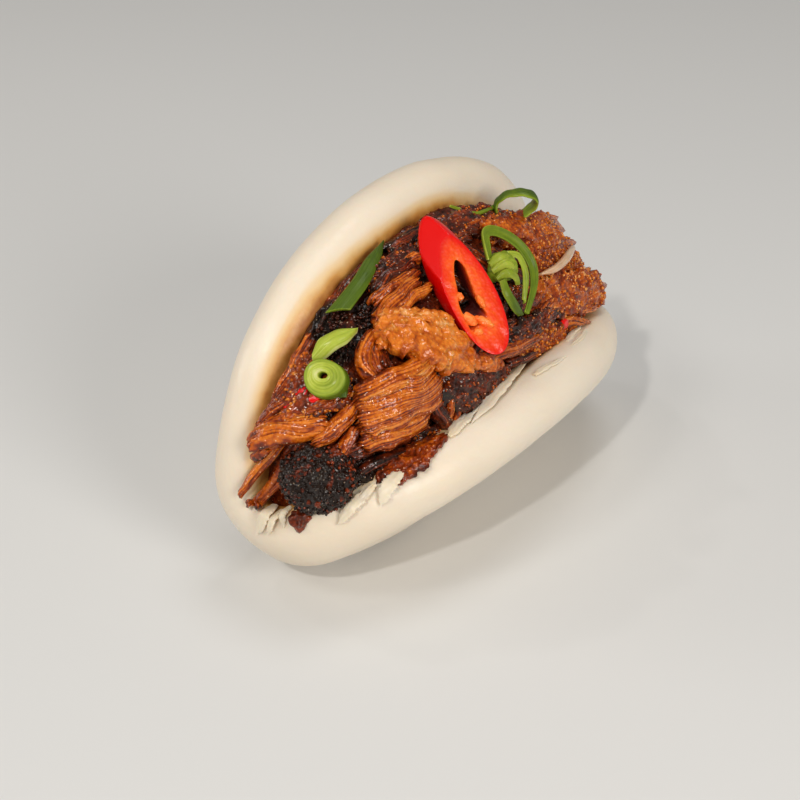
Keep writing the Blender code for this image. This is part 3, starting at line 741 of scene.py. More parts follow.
# a torn bundle of fibres along a route of (point, normal) pairs, sizes in mm
def addShred(whole, route, width, depth, tone, seed, roll=0.0, curl=0.25, ragged=1.2, taper=(0.85, 0.7),
             length=26, flare=0.0):
    draw = random.Random(seed)
    count = max(2, round(2 * width * mm / pork["fibreGap"]))
    ends = [[draw.uniform(-1, 0.5) for _ in range(count + 2)] for _ in range(2)]
    ends = [[(side[i] + side[i + 1]) / 2 for i in range(count + 1)] for side in ends]
    shade = [draw.uniform(-0.14, 0.14) for _ in range(count + 1)]
    height = [draw.uniform(0.35, 1.3) for _ in range(count + 1)]
    shred = gridBox((length, max(7, count * 3), 1))
    toneLayer, recessShadeLayer, grainLayer = addLayers(shred)
    span = routeLength(route)
    frames = {}
    for vert in shred.verts:
        x, y, z = vert.co
        key = round(x, 4)
        if key not in frames:
            share = (x + 1) / 2
            turn = math.radians(roll) + 0.5 * noise.noise(Vector((x * 1.5, seed, 3)))
            centre, tangent, wide, deep = routeFrame(route, share, turn)
            size = taper[0] + (taper[1] - taper[0]) * share
            size *= 1 + 0.18 * noise.noise(Vector((x * 2.2, seed, 5)))
            centre = centre + wide * 0.35 * mm * noise.noise(Vector((x * 2.5, seed, 9)))
            frames[key] = (centre, tangent, wide, deep, size)
        centre, tangent, wide, deep, size = frames[key]
        wander = 1.1 * noise.noise(Vector((x * 1.6, y * 1.5, seed + 0.5)))
        wander += 0.7 * noise.noise(Vector((y * 4, seed, 1)))
        strand = (y + 1) / 2 * count + wander
        which = min(max(int(strand), 0), count)
        ridge = abs(math.sin(math.pi * strand)) ** 0.7
        tall = ridge * height[which] + 0.22 * abs(math.sin(math.pi * strand * 2.7 + seed))
        endwise = smoothStep(0.58, 1, abs(x))
        side = 0 if x < 0 else 1
        fray = ends[side][which] * ragged * mm * endwise - ragged * 0.35 * mm * endwise * (1 - ridge)
        body = math.sqrt(max(0.0, 1 - abs(y) ** 4)) * 0.75 + 0.25
        thin = 1 - 0.65 * abs(x) ** 5
        spot = vert.co * 2.1 + Vector((seed * 1.7, 0, 0))
        lump = pork["lump"] * (noise.noise(spot) + 0.4 * noise.noise(vert.co * 7))
        rise = z * depth * mm * body * thin
        rise += (tall - 0.6) * pork["ridge"] * pork["fibreGap"] * (1 if z >= 0 else -0.3)
        rise += lump - curl * depth * mm * y * y * 1.6
        reach = y * width * mm * size * (1 + flare * endwise) * (1 - 0.2 * abs(x) ** 4)
        vert.co = centre + wide * reach + deep * rise
        vert.co += tangent * fray * (1 if side else -1)
        vert[toneLayer] = tone + shade[which] + 0.10 * endwise
        # painted shade between the ridges, and more on the underside
        vert[recessShadeLayer] = min(1, (1 - ridge) * 1.1) + (0.5 if z < 0 else 0)
        vert[grainLayer] = Vector((x * span / 2, y * width * mm, seed * 0.37))
    gather(whole, shred)


lumpDetail = {
    "grid": (46, 34, 1),
    "smooth": 0.45,  # a lumpiness up to this has no beads
    "beadSize": (0.2, 0.38),  # mm
    "beadTones": (-0.12, 0.26),
    "crumb": 0.45,
    "beads": 90,
    "rightBeads": 220,  # on a lump that ends past rightFrom
    "rightFrom": 22,
}


# a lump of meat or fat with a ragged rim, sizes in mm; a smooth one has no beads on it
def addLump(whole, route, width, depth, tone, seed, lumpy=0.9, crumb=0.16, beads=0):
    mesh = gridBox(lumpDetail["grid"])
    crest = []
    toneLayer, recessShadeLayer, grainLayer = addLayers(mesh)
    span = routeLength(route) / mm / 2
    for vert in mesh.verts:
        x, y, z = vert.co
        x, y = x * math.sqrt(1 - y * y * 0.4), y * math.sqrt(1 - x * x * 0.4)
        centre, tangent, side, normal = routeFrame(route, (x + 1) / 2)
        edge = max(abs(x), abs(y))
        body = math.sqrt(max(0.0, 1 - edge**3)) * 0.85 + 0.15
        spot = Vector((x * span * 0.45, y * width * 0.45, seed * 1.3))
        rim = 1 + 0.34 * noise.noise(spot * 0.9) * edge**2 + 0.40 * noise.noise(spot * 2.4) * edge**3
        cell = noise.voronoi(spot * 1.6)[0][0]
        fine = noise.voronoi(spot * 4.2)[0][0]
        lump = lumpy * (0.8 * noise.noise(spot) + 0.5 * (0.5 - cell)) + crumb * (0.5 - fine)
        lump *= mm if z > 0 else 0.3 * mm
        vert.co = centre + side * y * width * mm * rim + normal * (z * depth * mm * body + lump)
        vert.co += tangent * 1.5 * mm * noise.noise(spot * 2.4 + Vector((3, 0, 0))) * abs(x) ** 3
        vert[toneLayer] = tone + 0.14 * noise.noise(spot * 0.7) + 0.12 * edge**4
        # painted shade in the cracks between cells
        vert[recessShadeLayer] = min(1, cell * 0.7 + fine * 0.5)
        vert[grainLayer] = Vector((x * span * mm, y * width * 0.2 * mm, seed * 0.3))
        if z > 0:
            crest.append(vert.co.copy())
    gather(whole, mesh)
    draw = random.Random(seed)
    for _ in range(beads if lumpy > lumpDetail["smooth"] else 0):
        spot, size = draw.choice(crest), draw.uniform(*lumpDetail["beadSize"])
        addGrain(whole, spot, size, draw, tone + draw.uniform(*lumpDetail["beadTones"]))


# crumbs scattered round spots on the heap
def addGrains(whole, spots, count, size, seed, tone):
    draw = random.Random(seed)
    for _ in range(count):
        along, share, radius = draw.choice(spots)
        reach = radius * math.sqrt(draw.random())
        heading = draw.uniform(0, 2 * math.pi)
        along += reach * math.cos(heading)
        share += reach * math.sin(heading) / heapShape["crownSpan"]
        low, high = filledShares(along * mm)
        share = min(max(share, low + 0.04), high - 0.02)
        centre = crownPoint(along * mm, share, draw.uniform(0.3, 1.1) * mm)[0]
        addGrain(whole, centre, size * draw.uniform(0.55, 1.3), draw, tone)


def addGrain(whole, centre, size, draw, tone):
    grain = bmesh.new()
    toneLayer = addLayers(grain)[0]
    bmesh.ops.create_icosphere(grain, subdivisions=1, radius=size * mm)
    squeeze = Vector([draw.uniform(0.7, 1.25) for _ in range(3)])
    darkness = tone - draw.random() * 0.12
    for vert in grain.verts:
        vert.co = centre + vert.co * squeeze * draw.uniform(0.85, 1.15)
        vert[toneLayer] = darkness
    gather(whole, grain)


core = {
    "grid": (80, 56, 0),
    "swell": 0.9 * mm,
    "bits": 0.5 * mm,
    "tone": 0.60,
    "burnt": 0.42,
    "sunk": 2 * mm,  # its underside lies this deep in the dough
}


def makeCore():
    mesh = gridBox(core["grid"])
    toneLayer, recessShadeLayer, grainLayer = addLayers(mesh)
    for vert in mesh.verts:
        x, y, z = vert.co
        along = x * math.sqrt(1 - y * y / 2)
        across = y * math.sqrt(1 - x * x / 2)
        rim = math.sqrt(max(1 - along * along, 1e-6))
        side = min(max(across / rim, -1), 1)
        reach = along * heapShape["leftHalf" if along < 0 else "half"]
        low, high = filledShares(reach)
        side = 2 * (low + (high - low) * (side + 1) / 2) - 1
        if z > 0:
            spot = Vector((along * 26, side * 14, 1))
            bits = noise.voronoi(Vector((along * 70, side * 42, 0)))[0][0]
            relief = core["swell"] * noise.noise(spot) + core["bits"] * (0.5 - bits)
            vert.co = crownPoint(reach, (side + 1) / 2, relief)[0]
            # painted shade between the bits
            vert[recessShadeLayer] = min(1, bits * 0.8)
            burnt = charAt(reach, (side + 1) / 2)
            vert[toneLayer] = core["tone"] + 0.16 * noise.noise(spot * 0.5) + core["burnt"] * burnt
        else:
            wing = dough["backWing"] if side < 0 else dough["frontWing"]
            vert.co = foldPoint(reach, side * heapReach(reach, wing), dough["bodyHalf"] - core["sunk"])
            vert[toneLayer] = core["tone"]
        vert[grainLayer] = Vector((reach, side * 20 * mm, 0.1))
    return mesh


# shreds of the heap in view: stops over the heap in mm, half width, half depth, tone, curl, roll
heapShreds = [
    (((-26, 0.16, 1.4), (-20.5, 0.17, 2.4), (-14, 0.20, 1.6)), 2.0, 1.2, 0.62, 0.5, 0),
    (((-29.8, 0.30, 1.6), (-24.9, 0.27, 2.6), (-16.8, 0.26, 2.4)), 2.2, 1.3, 0.30, 0.4, 10),
    (((-27.7, 0.20, 1.4), (-22.9, 0.21, 2.4), (-15.1, 0.23, 2.0)), 1.7, 1.1, 0.42, 0.3, -8),
    (((-28.1, 0.33, 1.6), (-22.6, 0.31, 3.0), (-15.7, 0.32, 2.4)), 1.5, 1.0, 0.22, 0.3, 0),
    (((-17.9, 0.16, 1.2), (-14.1, 0.17, 2.0), (-11.3, 0.20, 1.5)), 1.6, 1.1, 0.28, 0.3, 0),
    (((-24.3, 0.10, 1.0), (-18.9, 0.11, 1.8), (-13.3, 0.11, 1.0)), 1.6, 1.1, 0.60, 0.3, 0),
    (((-39.0, 0.56, 0.8), (-43.0, 0.57, 1.8), (-45.9, 0.57, 2.2), (-48.1, 0.53, 2.0)), 2.0, 1.2, 0.34, 0.3, 0),
    (((-40.3, 0.68, 0.8), (-44.4, 0.73, 1.8), (-46.6, 0.80, 2.0)), 1.5, 1.0, 0.48, 0.3, 0),
    (((-27.9, 1.02, 1.0), (-36.0, 0.95, 1.8), (-41.2, 0.93, 2.2), (-44.3, 0.98, 1.5)), 1.3, 0.9, 0.50, 0.2, 0),
    (((-33.7, 1.04, 0.8), (-38.9, 1.03, 1.4), (-43.1, 1.06, 1.0)), 1.1, 0.8, 0.56, 0.2, 0),
    (((-26.0, 0.77, 0.8), (-24.3, 0.89, 1.6), (-20.8, 1.03, 1.0)), 2.2, 1.2, 0.60, 0.4, 0),
    (((-21.8, 0.77, 2.4), (-23.0, 0.86, 2.4), (-23.1, 0.99, 1.4)), 0.8, 0.6, 0.44, 0.1, 0),
    (((-19.3, 0.83, 2.4), (-21.3, 0.91, 2.3), (-22.3, 1.0, 1.2)), 0.7, 0.6, 0.40, 0.1, 0),
    (((-5.6, 0.90, 0.6), (-12.3, 0.94, 0.8), (-17.8, 1.0, 0.8), (-20.7, 1.06, 0.6)), 1.6, 0.8, 0.44, 0.2, 0),
    (((-25.1, 0.97, 0.4), (-30.4, 1.03, 0.8), (-33.7, 1.10, 0.6)), 1.5, 0.8, 0.46, 0.2, 0),
    (((-9.2, 0.78, 0.8), (0.6, 0.82, 1.6), (12.4, 0.88, 0.8)), 1.9, 1.1, 0.46, 0.3, 0),
    (((-3.3, 0.88, 0.5), (3.1, 0.91, 1.1), (13.9, 0.96, 0.5)), 1.4, 0.9, 0.56, 0.2, 0),
    (((-1.6, 0.73, 0.8), (6.6, 0.76, 1.5), (14.9, 0.74, 1.8), (24.0, 0.71, 1.0)), 1.9, 1.1, 0.44, 0.3, 0),
    (((1.3, 0.66, 0.8), (8.7, 0.68, 1.4), (17.7, 0.66, 1.2)), 1.5, 1.0, 0.52, 0.3, 0),
    (((13.3, 0.88, 0.6), (17.1, 0.88, 1.5), (23.3, 0.91, 0.6)), 1.8, 1.2, 0.62, 0.3, 0),
    (((-1.0, 0.08, 0.4), (8.0, 0.12, 0.6), (16.0, 0.18, 0.5)), 1.8, 0.9, 0.58, 0.3, 0),
    (((17.0, 0.19, 0.4), (23.0, 0.25, 0.8), (30.0, 0.34, 0.8)), 1.6, 0.9, 0.56, 0.3, 0),
    (((0.0, 0.17, 0.6), (9.0, 0.20, 1.0), (17.0, 0.26, 0.8)), 1.5, 0.9, 0.50, 0.2, 0),
    (((-37.8, 0.08, 0.4), (-43.0, 0.09, 1.0), (-47.4, 0.05, 0.8)), 2.0, 0.9, 0.42, 0.3, 0),
    (((-40.9, 0.46, 0.6), (-45.0, 0.35, 1.4), (-48.4, 0.20, 1.4)), 2.0, 1.1, 0.38, 0.3, 0),
    (((-17.6, 0.05, 0.4), (-25.6, 0.06, 0.8), (-31.8, 0.07, 0.6)), 1.8, 0.9, 0.56, 0.3, 0),
    (((-15.1, 0.05, 0.5), (-9.2, 0.07, 1.0), (-1.9, 0.08, 0.8)), 1.9, 0.9, 0.54, 0.3, 0),
    (((-12.0, 0.26, 1.0), (-8.0, 0.40, 1.4), (-5.0, 0.60, 1.0)), 2.6, 1.2, 0.58, 0.3, 0),
    (((-3.0, 0.22, 0.8), (0.0, 0.36, 1.4), (2.0, 0.52, 1.0)), 2.6, 1.2, 0.60, 0.3, 0),
    (((4.0, 0.44, 0.6), (9.0, 0.54, 1.2), (13.0, 0.60, 0.8)), 2.4, 1.1, 0.64, 0.3, 0),
]

# lumps of glazed meat: stops, half width, half depth, tone, lumpiness
heapLumps = [
    (((6, 0.24, 0.6), (15, 0.31, 1.8), (24, 0.38, 2.6), (35, 0.37, 2.6)), 4.0, 1.4, 0.26, 0.8),
    (((12, 0.46, 0.4), (18, 0.48, 1.2), (27, 0.52, 1.8), (39, 0.52, 2.6)), 3.0, 1.2, 0.35, 0.8),
    (((25, 0.66, 0.6), (33, 0.68, 1.8), (41, 0.64, 2.6)), 2.6, 1.0, 0.28, 0.5),
    (((8, 0.68, 0.4), (18, 0.72, 1.8), (29, 0.79, 3.4), (40, 0.89, 5.6)), 4.4, 1.3, 0.26, 0.9),
    (((-4, 0.73, 0.6), (3.2, 0.76, 1.6), (12.1, 0.78, 2.0), (22, 0.80, 1.6)), 2.2, 1.1, 0.60, 0.8),
    (((0, 0.86, 0.2), (9, 0.88, 1.0), (20, 0.92, 1.4), (30, 0.97, 1.6)), 2.6, 1.1, 0.36, 0.9),
    (((4, 0.54, 0.6), (14, 0.58, 1.2), (26, 0.60, 1.6), (38, 0.60, 2.0)), 2.6, 1.1, 0.42, 0.8),
    (((-24.5, 0.70, 0.8), (-19.4, 0.82, 1.8), (-12.4, 0.93, 1.0)), 4.2, 1.6, 0.62, 1.0),
    (((-17.7, 0.80, 0.8), (-11.1, 0.88, 1.4), (-3.0, 0.94, 0.6)), 3.0, 1.3, 0.58, 0.9),
    (((-39.4, 0.20, 0.4), (-44.0, 0.20, 1.2), (-48.2, 0.10, 0.8)), 3.8, 1.2, 0.36, 0.8),
    (((-38.9, 0.42, 0.4), (-43.0, 0.38, 1.0), (-46.4, 0.28, 1.0)), 3.0, 1.2, 0.40, 0.8),
    (((-25.0, 0.12, 0.8), (-18.9, 0.14, 1.8), (-10.3, 0.14, 1.0)), 2.6, 1.3, 0.60, 0.9),
    (((-5.0, 0.12, 0.4), (5.0, 0.15, 0.9), (18.0, 0.20, 0.8)), 3.2, 1.1, 0.52, 0.8),
    (((6.0, 0.25, 2.4), (11.4, 0.28, 3.3), (16.5, 0.34, 3.5), (21.0, 0.42, 2.6)), 2.0, 0.9, 0.16, 0.4),
    (((-30.1, 0.95, 0.2), (-25.4, 1.0, 0.6), (-20.7, 1.02, 0.4)), 2.6, 1.0, 0.56, 0.7),
    (((-2.0, 0.40, 0.8), (3.0, 0.55, 1.2), (6.0, 0.66, 0.8)), 3.2, 1.4, 0.62, 0.9),
    (((-36.0, 1.11, 0.8), (-32.2, 1.10, 1.7), (-28.2, 1.08, 1.7), (-24.3, 1.05, 1.4), (-20.0, 1.03, 0.8)),
     2.4, 1.0, 0.28, 0.45),
    (((-47.0, 0.84, 1.4), (-44.6, 0.96, 1.6), (-40.0, 1.02, 1.4), (-36.0, 1.02, 0.8)), 2.8, 1.4, 0.86, 0.9),
]

# glaze run down on the lip: degrees round the dough and the lip, and how far out
glazeRun = {
    "stops": (
        (140, 20, -0.3), (134.8, 24, 0.2), (131.2, 28, 0.3),
        (127.1, 36, 0.3), (122.4, 46, 0.2), (118, 58, -0.3),
    ),
    "halfWidth": 3.1,
    "halfDepth": 0.6,
    "tone": 0.36,
    "lumpy": 0.7,
    "crumb": 0.3,
    "seed": 40,
}

# bits that stand out of the two ends of the heap
endShreds = [
    (((26, 0.34, 1.2), (33, 0.31, 2.6), (39.5, 0.30, 3.1)), 1.3, 0.8, 0.34),
    (((28, 0.40, 1.6), (34, 0.40, 2.4), (41, 0.40, 2.8)), 1.4, 0.8, 0.40),
    (((30, 0.36, 1.4), (37, 0.33, 2.4), (46, 0.31, 2.9)), 1.2, 0.7, 0.34),
    (((30, 0.50, 1.4), (37, 0.50, 2.6), (43.5, 0.50, 3.7)), 1.5, 0.8, 0.38),
    (((28, 0.70, 1.4), (33, 0.72, 3.4), (38, 0.72, 5.0)), 1.6, 0.8, 0.30),
    (((28, 0.82, 2.6), (38, 0.88, 5.0), (47, 0.95, 6.6)), 1.7, 0.7, 0.34),
    (((28, 0.84, 3.0), (36, 0.87, 4.8), (44, 0.90, 6.0)), 1.6, 0.7, 0.28),
    (((24, 0.86, 2.0), (31, 0.92, 3.8), (37, 0.97, 4.6)), 1.5, 0.7, 0.34),
    (((18, 0.86, 1.6), (24, 0.92, 3.2), (30, 0.99, 3.8)), 1.5, 0.7, 0.36),
    (((30, 0.92, 1.4), (37, 0.96, 2.6), (44, 0.99, 4.2)), 1.5, 0.7, 0.40),
    (((-44, 0.20, 0.8), (-48, 0.08, 1.4), (-50.5, -0.06, 2.0)), 1.9, 0.9, 0.48),
]

# thin strands over the lip: first stop over the heap, then degrees round the dough and the lip
strands = [
    (((-47.0, 0.34, 0.4), (194, 50), (187, 26)), 1.1, 0.38),
    (((-47.2, 0.46, 0.4), (189, 56), (184, 32)), 0.9, 0.44),
    (((-47.4, 0.58, 0.4), (184, 62), (181, 42)), 0.8, 0.46),
]

# shreds that fill in between the others, drawn at random; sizes in mm
smallShreds = {
    "seed": 11,
    "noiseSeeds": range(100, 148),  # one for each shred
    "along": (-44, 40),
    "edge": 0.08,  # share that stays clear at the back
    "last": 0.94,
    "halfLength": (3.0, 6.5),
    "heading": (-0.7, 0.7),
    "height": (0.5, 1.3),
    "tone": (0.48, 0.74),
    "burnt": 0.35,
    "halfWidth": (0.8, 1.7),
    "halfDepth": (0.6, 1.0),
    "roll": (-25, 25),
}

# crumbs of char, and of glaze at the heap's ends: spots, count, size in mm, seed, tone
crumbBeds = [
    (charSpots, 900, 0.34, 5, 1.0),
    ([(30, 0.45, 5), (22, 0.86, 5), (-44, 0.16, 4), (-24, 0.08, 4), (-5, 0.10, 4)], 420, 0.26, 6, 0.62),
]


def addSmallShreds(whole):
    draw = random.Random(smallShreds["seed"])
    for seed in smallShreds["noiseSeeds"]:
        along = draw.uniform(*smallShreds["along"])
        share = draw.uniform(filledShares(along * mm)[0] + smallShreds["edge"], smallShreds["last"])
        length = draw.uniform(*smallShreds["halfLength"])
        heading = draw.uniform(*smallShreds["heading"])
        swing = length * math.sin(heading) / heapShape["crownSpan"]
        run = length * math.cos(heading)
        height = draw.uniform(*smallShreds["height"])
        stops = ((along - run, share - swing, 0.2), (along, share, height), (along + run, share + swing, 0.2))
        tone = draw.uniform(*smallShreds["tone"]) + smallShreds["burnt"] * charAt(along * mm, share)
        width = draw.uniform(*smallShreds["halfWidth"])
        depth = draw.uniform(*smallShreds["halfDepth"])
        roll = draw.uniform(*smallShreds["roll"])
        addShred(whole, crownRoute(stops), width, depth, tone, seed, roll, curl=0.2, ragged=0.8, length=14)


def makeHeap():
    whole = newWhole()
    gather(whole, makeCore())
    for seed, (stops, width, depth, tone, curl, roll) in enumerate(heapShreds):
        middle = stops[len(stops) // 2]
        burnt = charAt(middle[0] * mm, middle[1])
        addShred(whole, crownRoute(stops), width, depth, tone + 0.25 * burnt, seed, roll, curl)
    for seed, (stops, width, depth, tone) in enumerate(endShreds, start=60):
        addShred(whole, crownRoute(stops), width, depth, tone, seed, ragged=2.2, taper=(1, 0.25), length=22)
    for seed, ((start, *ends), width, tone) in enumerate(strands, start=80):
        route = crownRoute([start]) + lipRoute([(angle, turn, 1.5) for angle, turn in ends])
        addShred(whole, route, width, 0.7, tone, seed, ragged=0.8, taper=(1, 0.7), length=22)
    addSmallShreds(whole)
    for spots, count, size, seed, tone in crumbBeds:
        addGrains(whole, spots, count, size, seed, tone)
    return whole


def makeLumps():
    whole = newWhole()
    for seed, (stops, width, depth, tone, lumpy) in enumerate(heapLumps, start=300):
        beads = lumpDetail["rightBeads" if stops[-1][0] > lumpDetail["rightFrom"] else "beads"]
        addLump(whole, crownRoute(stops), width, depth, tone, seed, lumpy, lumpDetail["crumb"], beads)
    addLump(whole, lipRoute(glazeRun["stops"]), glazeRun["halfWidth"], glazeRun["halfDepth"],
            glazeRun["tone"], glazeRun["seed"], glazeRun["lumpy"], glazeRun["crumb"])
    return whole


makePiece("pork_heap", makeHeap(), looks["pork"], "pulled_pork")
makePiece("pork_lumps", makeLumps(), looks["pork"], "pulled_pork")
print("heap made")

# larger torn pieces: piece, node, finish, and their bands of fibre
# (stops, half width, half depth, tone, curl, roll, flare)
chunks = [
    ("big_chunk", "pork_chunk", "pork", [
        (((-41.8, 0.60, 2.9), (-37.4, 0.64, 4.0), (-31.8, 0.68, 3.7), (-24.0, 0.72, 2.0)),
         5.4, 1.7, 0.30, 0.5, 0, 0.1),
        (((-42.2, 0.74, 2.0), (-38.4, 0.77, 2.9), (-33.4, 0.81, 2.4), (-27.5, 0.84, 1.2)),
         3.4, 1.6, 0.36, 0.5, -10, 0.1),
        (((-40.9, 0.51, 3.8), (-36.3, 0.55, 4.7), (-30.2, 0.59, 4.4), (-22.3, 0.59, 2.8)),
         2.6, 1.2, 0.24, 0.4, 10, 0.1),
        (((-34.9, 0.57, 5.0), (-28.6, 0.58, 4.6), (-21.2, 0.59, 3.2)), 0.9, 0.8, 0.20, 0.2, 0, 0.0),
    ]),
    ("curled_bundle", "pork_curl", "pork", [
        (((-30.3, 0.31, 1.4), (-35.4, 0.35, 2.9), (-36.9, 0.44, 2.9), (-33.6, 0.57, 1.8)),
         1.6, 1.1, 0.34, 0.4, 10, 0.0),
        (((-31.0, 0.35, 1.4), (-34.0, 0.39, 2.5), (-34.8, 0.47, 2.4), (-31.6, 0.57, 1.5)),
         1.5, 1.0, 0.46, 0.4, 0, 0.0),
        (((-30.0, 0.40, 0.8), (-32.2, 0.43, 1.4), (-32.6, 0.49, 1.4), (-30.4, 0.56, 0.8)),
         1.4, 0.9, 0.66, 0.3, 0, 0.0),
    ]),
    ("torn_chunk", "pork_torn_chunk", "pork_pale", [
        (((-44.5, 0.52, 1.0), (-47.8, 0.36, 2.2), (-49.9, 0.15, 2.8), (-51.1, -0.10, 2.8)),
         2.6, 1.5, 0.26, 0.5, 0, 0.2),
        (((-45.8, 0.38, 1.2), (-48.6, 0.18, 2.0), (-50.6, -0.08, 2.2)), 1.5, 1.1, 0.36, 0.3, 10, 0.2),
        (((-47.8, 0.40, 1.2), (-50.2, 0.18, 1.6), (-51.6, -0.04, 1.6)), 1.4, 1.0, 0.32, 0.3, -12, 0.2),
    ]),
]


def makeChunks():
    seed = 200
    for name, node, slot, bands in chunks:
        whole = newWhole()
        for stops, width, depth, tone, curl, roll, flare in bands:
            seed += 1
            addShred(whole, crownRoute(stops), width, depth, tone, seed, roll, curl, ragged=1.3,
                     taper=(1, 0.9), length=34, flare=flare)
        makePiece(name, whole, looks[slot], node)


makeChunks()

fatty = {
    "bands": [
        (((-31.0, 0.30, 2.4), (-27.5, 0.42, 4.2), (-22.1, 0.57, 3.6), (-15.3, 0.70, 2.2)), 4.6, 2.2, 0.10),
        (((-28.5, 0.46, 3.0), (-24.0, 0.58, 3.8), (-20.0, 0.66, 2.6)), 2.8, 1.6, 0.14),
        (((-24.3, 0.62, 2.0), (-16.1, 0.72, 2.4), (-6.4, 0.84, 1.4)), 1.7, 1.1, 0.26),
        (((-27.0, 0.36, 4.6), (-22.5, 0.44, 4.8), (-18.0, 0.52, 3.8)), 1.7, 1.0, 0.06),
        (((-29.3, 0.41, 4.2), (-29.5, 0.47, 4.4), (-28.9, 0.53, 3.8)), 1.0, 0.7, 0.12),
        (((-29.0, 0.36, 4.4), (-31.9, 0.37, 4.2), (-33.5, 0.38, 3.4)), 1.2, 0.8, 0.12),
        (((-28.1, 0.33, 4.6), (-27.0, 0.38, 5.2), (-24.9, 0.43, 4.6)), 1.3, 0.9, 0.0),
        (((-25.4, 0.56, 3.2), (-21.8, 0.62, 3.2), (-18.4, 0.69, 2.6)), 1.1, 0.8, 0.16),
    ],
    "lump": 1.3,
}


# fat and soft meat: lumpy, with a ragged rim
def makeFattyChunk():
    whole = newWhole()
    for seed, (stops, width, depth, tone) in enumerate(fatty["bands"], start=230):
        addLump(whole, crownRoute(stops), width, depth, tone, seed, fatty["lump"])
    makePiece("fatty_chunk", whole, looks["pork_pale"], "pork_pale_chunk")


makeFattyChunk()

charred = {
    "centre": (-47.4, 0.88, -0.4),
    "half": (7.0 * mm, 6.3 * mm, 6.6 * mm),
    "swell": 1.0 * mm,
    "grain": 0.75 * mm,
    "fine": 0.3 * mm,
    "tone": 0.98,
    "redder": 0.42,  # how far the tone goes down where red meat shows
    "beads": 900,
    "beadSize": (0.25, 0.5),  # mm
    "beadTones": (1.04, 0.74),
    "blackShare": 0.75,
    "seed": 21,
    "nub": (-51.6, 1.11, 4.0),
    "nubHalf": 1.9 * mm,
    "nubTone": 0.66,
}


def makeCharredChunk():
    whole = newWhole()
    lump = bmesh.new()
    toneLayer, recessShadeLayer, _ = addLayers(lump)
    bmesh.ops.create_icosphere(lump, subdivisions=6, radius=1)
    centre = crownSpot(charred["centre"])
    for vert in lump.verts:
        shape = vert.co.copy()
        cell = noise.voronoi(shape * 6.5)[0][0]
        fine = noise.voronoi(shape * 13)[0][0]
        swell = charred["swell"] * noise.noise(shape * 2.2)
        swell += charred["grain"] * (0.55 - cell) + charred["fine"] * (0.5 - fine)
        vert.co = centre + Vector([shape[i] * (charred["half"][i] + swell) for i in range(3)])
        red = smoothStep(0.1, 0.5, noise.noise(shape * 3.1 + Vector((4, 1, 2))))
        vert[toneLayer] = charred["tone"] - charred["redder"] * red
        # painted shade in the cracks
        vert[recessShadeLayer] = min(1, cell * 0.7)
    lumpSpots = [vert.co.copy() for vert in lump.verts]
    gather(whole, lump)
    draw = random.Random(charred["seed"])
    for spot in draw.sample(lumpSpots, charred["beads"]):
        size = draw.uniform(*charred["beadSize"])
        black = draw.random() < charred["blackShare"]
        addGrain(whole, spot, size, draw, charred["beadTones"][0 if black else 1])
    nub = bmesh.new()
    toneLayer = addLayers(nub)[0]
    bmesh.ops.create_icosphere(nub, subdivisions=4, radius=1)
    centre = crownSpot(charred["nub"])
    for vert in nub.verts:
        shape = vert.co.copy()
        swell = 1 + 0.5 * noise.noise(shape * 1.8) + 0.3 * (0.5 - noise.voronoi(shape * 3)[0][0])
        vert.co = centre + shape * charred["nubHalf"] * swell
        vert[toneLayer] = charred["nubTone"] + 0.1 * noise.noise(shape * 3)
    gather(whole, nub)
    makePiece("charred_lump", whole, looks["pork_charred"], "pork_charred_chunk")


makeCharredChunk()
print("pork pieces made")

chilli = {
    "centre": (-11.9, 0.46, 5.4),  # along in mm, share, height in mm
    "long": Vector((0.62, -0.12, -0.77)),  # down the slice
    "face": Vector((0.74, -0.38, 0.56)),  # out of its cut face
    "halfLong": 12.3 * mm,
    "halfWide": 5.0 * mm,
    "thick": 4.0 * mm,
    "slant": 5.5 * mm,  # the back is shifted up, as the fruit was cut at a slant
    "egg": 0.10,  # broader at its low end
    "sides": 144,
    # the cavity's outline: down and across, as shares of the slice
    "cavity": [
        (0.50, -0.30), (0.42, 0.15), (0.19, 0.12), (0.06, 0.13), (-0.17, 0.20), (-0.41, 0.23), (-0.54, 0.03),
        (-0.37, -0.25), (-0.13, -0.43), (0.09, -0.64), (0.31, -0.64), (0.49, -0.65),
    ],
    # pale lobes that held the seeds: down, across, half length, half width, turn
    "lobes": [
        (0.34, -0.52, 1.7, 1.05, 30), (0.47, -0.03, 2.1, 0.85, 40), (-0.03, -0.48, 0.9, 0.7, 10),
        (0.17, 0.20, 1.5, 0.7, 5), (0.56, -0.42, 1.0, 0.8, 80),
    ],
    "lobeHigh": 0.7,  # mm
    "facet": Vector((0.08, -0.70, 0.70)),  # a small flat cut at its tip
    # depth, share of the way from the skin to the cavity, tone, and painted shade on the cavity's walls
    "profile": [
        (1.0, 0.0, 0, 0), (0.8, -0.02, 0, 0), (0.55, -0.03, 0, 0), (0.3, -0.02, 0, 0), (0.10, 0.0, 0, 0),
        (0.02, 0.02, 0.03, 0), (0.0, 0.07, 0.16, 0), (0.0, 0.16, 0.34, 0), (0.0, 0.30, 0.5, 0),
        (0.0, 0.5, 0.62, 0), (0.0, 0.7, 0.70, 0), (0.01, 0.9, 0.76, 0), (0.05, 0.99, 0.8, 0.1),
        (0.14, 1.02, 0.6, 0.6), (0.4, 1.0, 0.5, 1), (0.8, 1.0, 0.4, 1), (1.0, 0.95, 0.4, 1),
    ],
}


def chilliAxes():
    long = chilli["long"].normalized()
    face = (chilli["face"] - long * chilli["face"].dot(long)).normalized()
    return crownSpot(chilli["centre"]), long, face, face.cross(long)


# a place of the slice: down and across its cut face as shares, depth as a share, and out of it
def chilliPoint(x, y, depth, lift=0.0):
    centre, long, face, wide = chilliAxes()
    point = centre + long * x * chilli["halfLong"] + wide * y * chilli["halfWide"] * (1 + chilli["egg"] * x)
    return point - face * (depth * chilli["thick"] - lift) - long * depth * chilli["slant"]


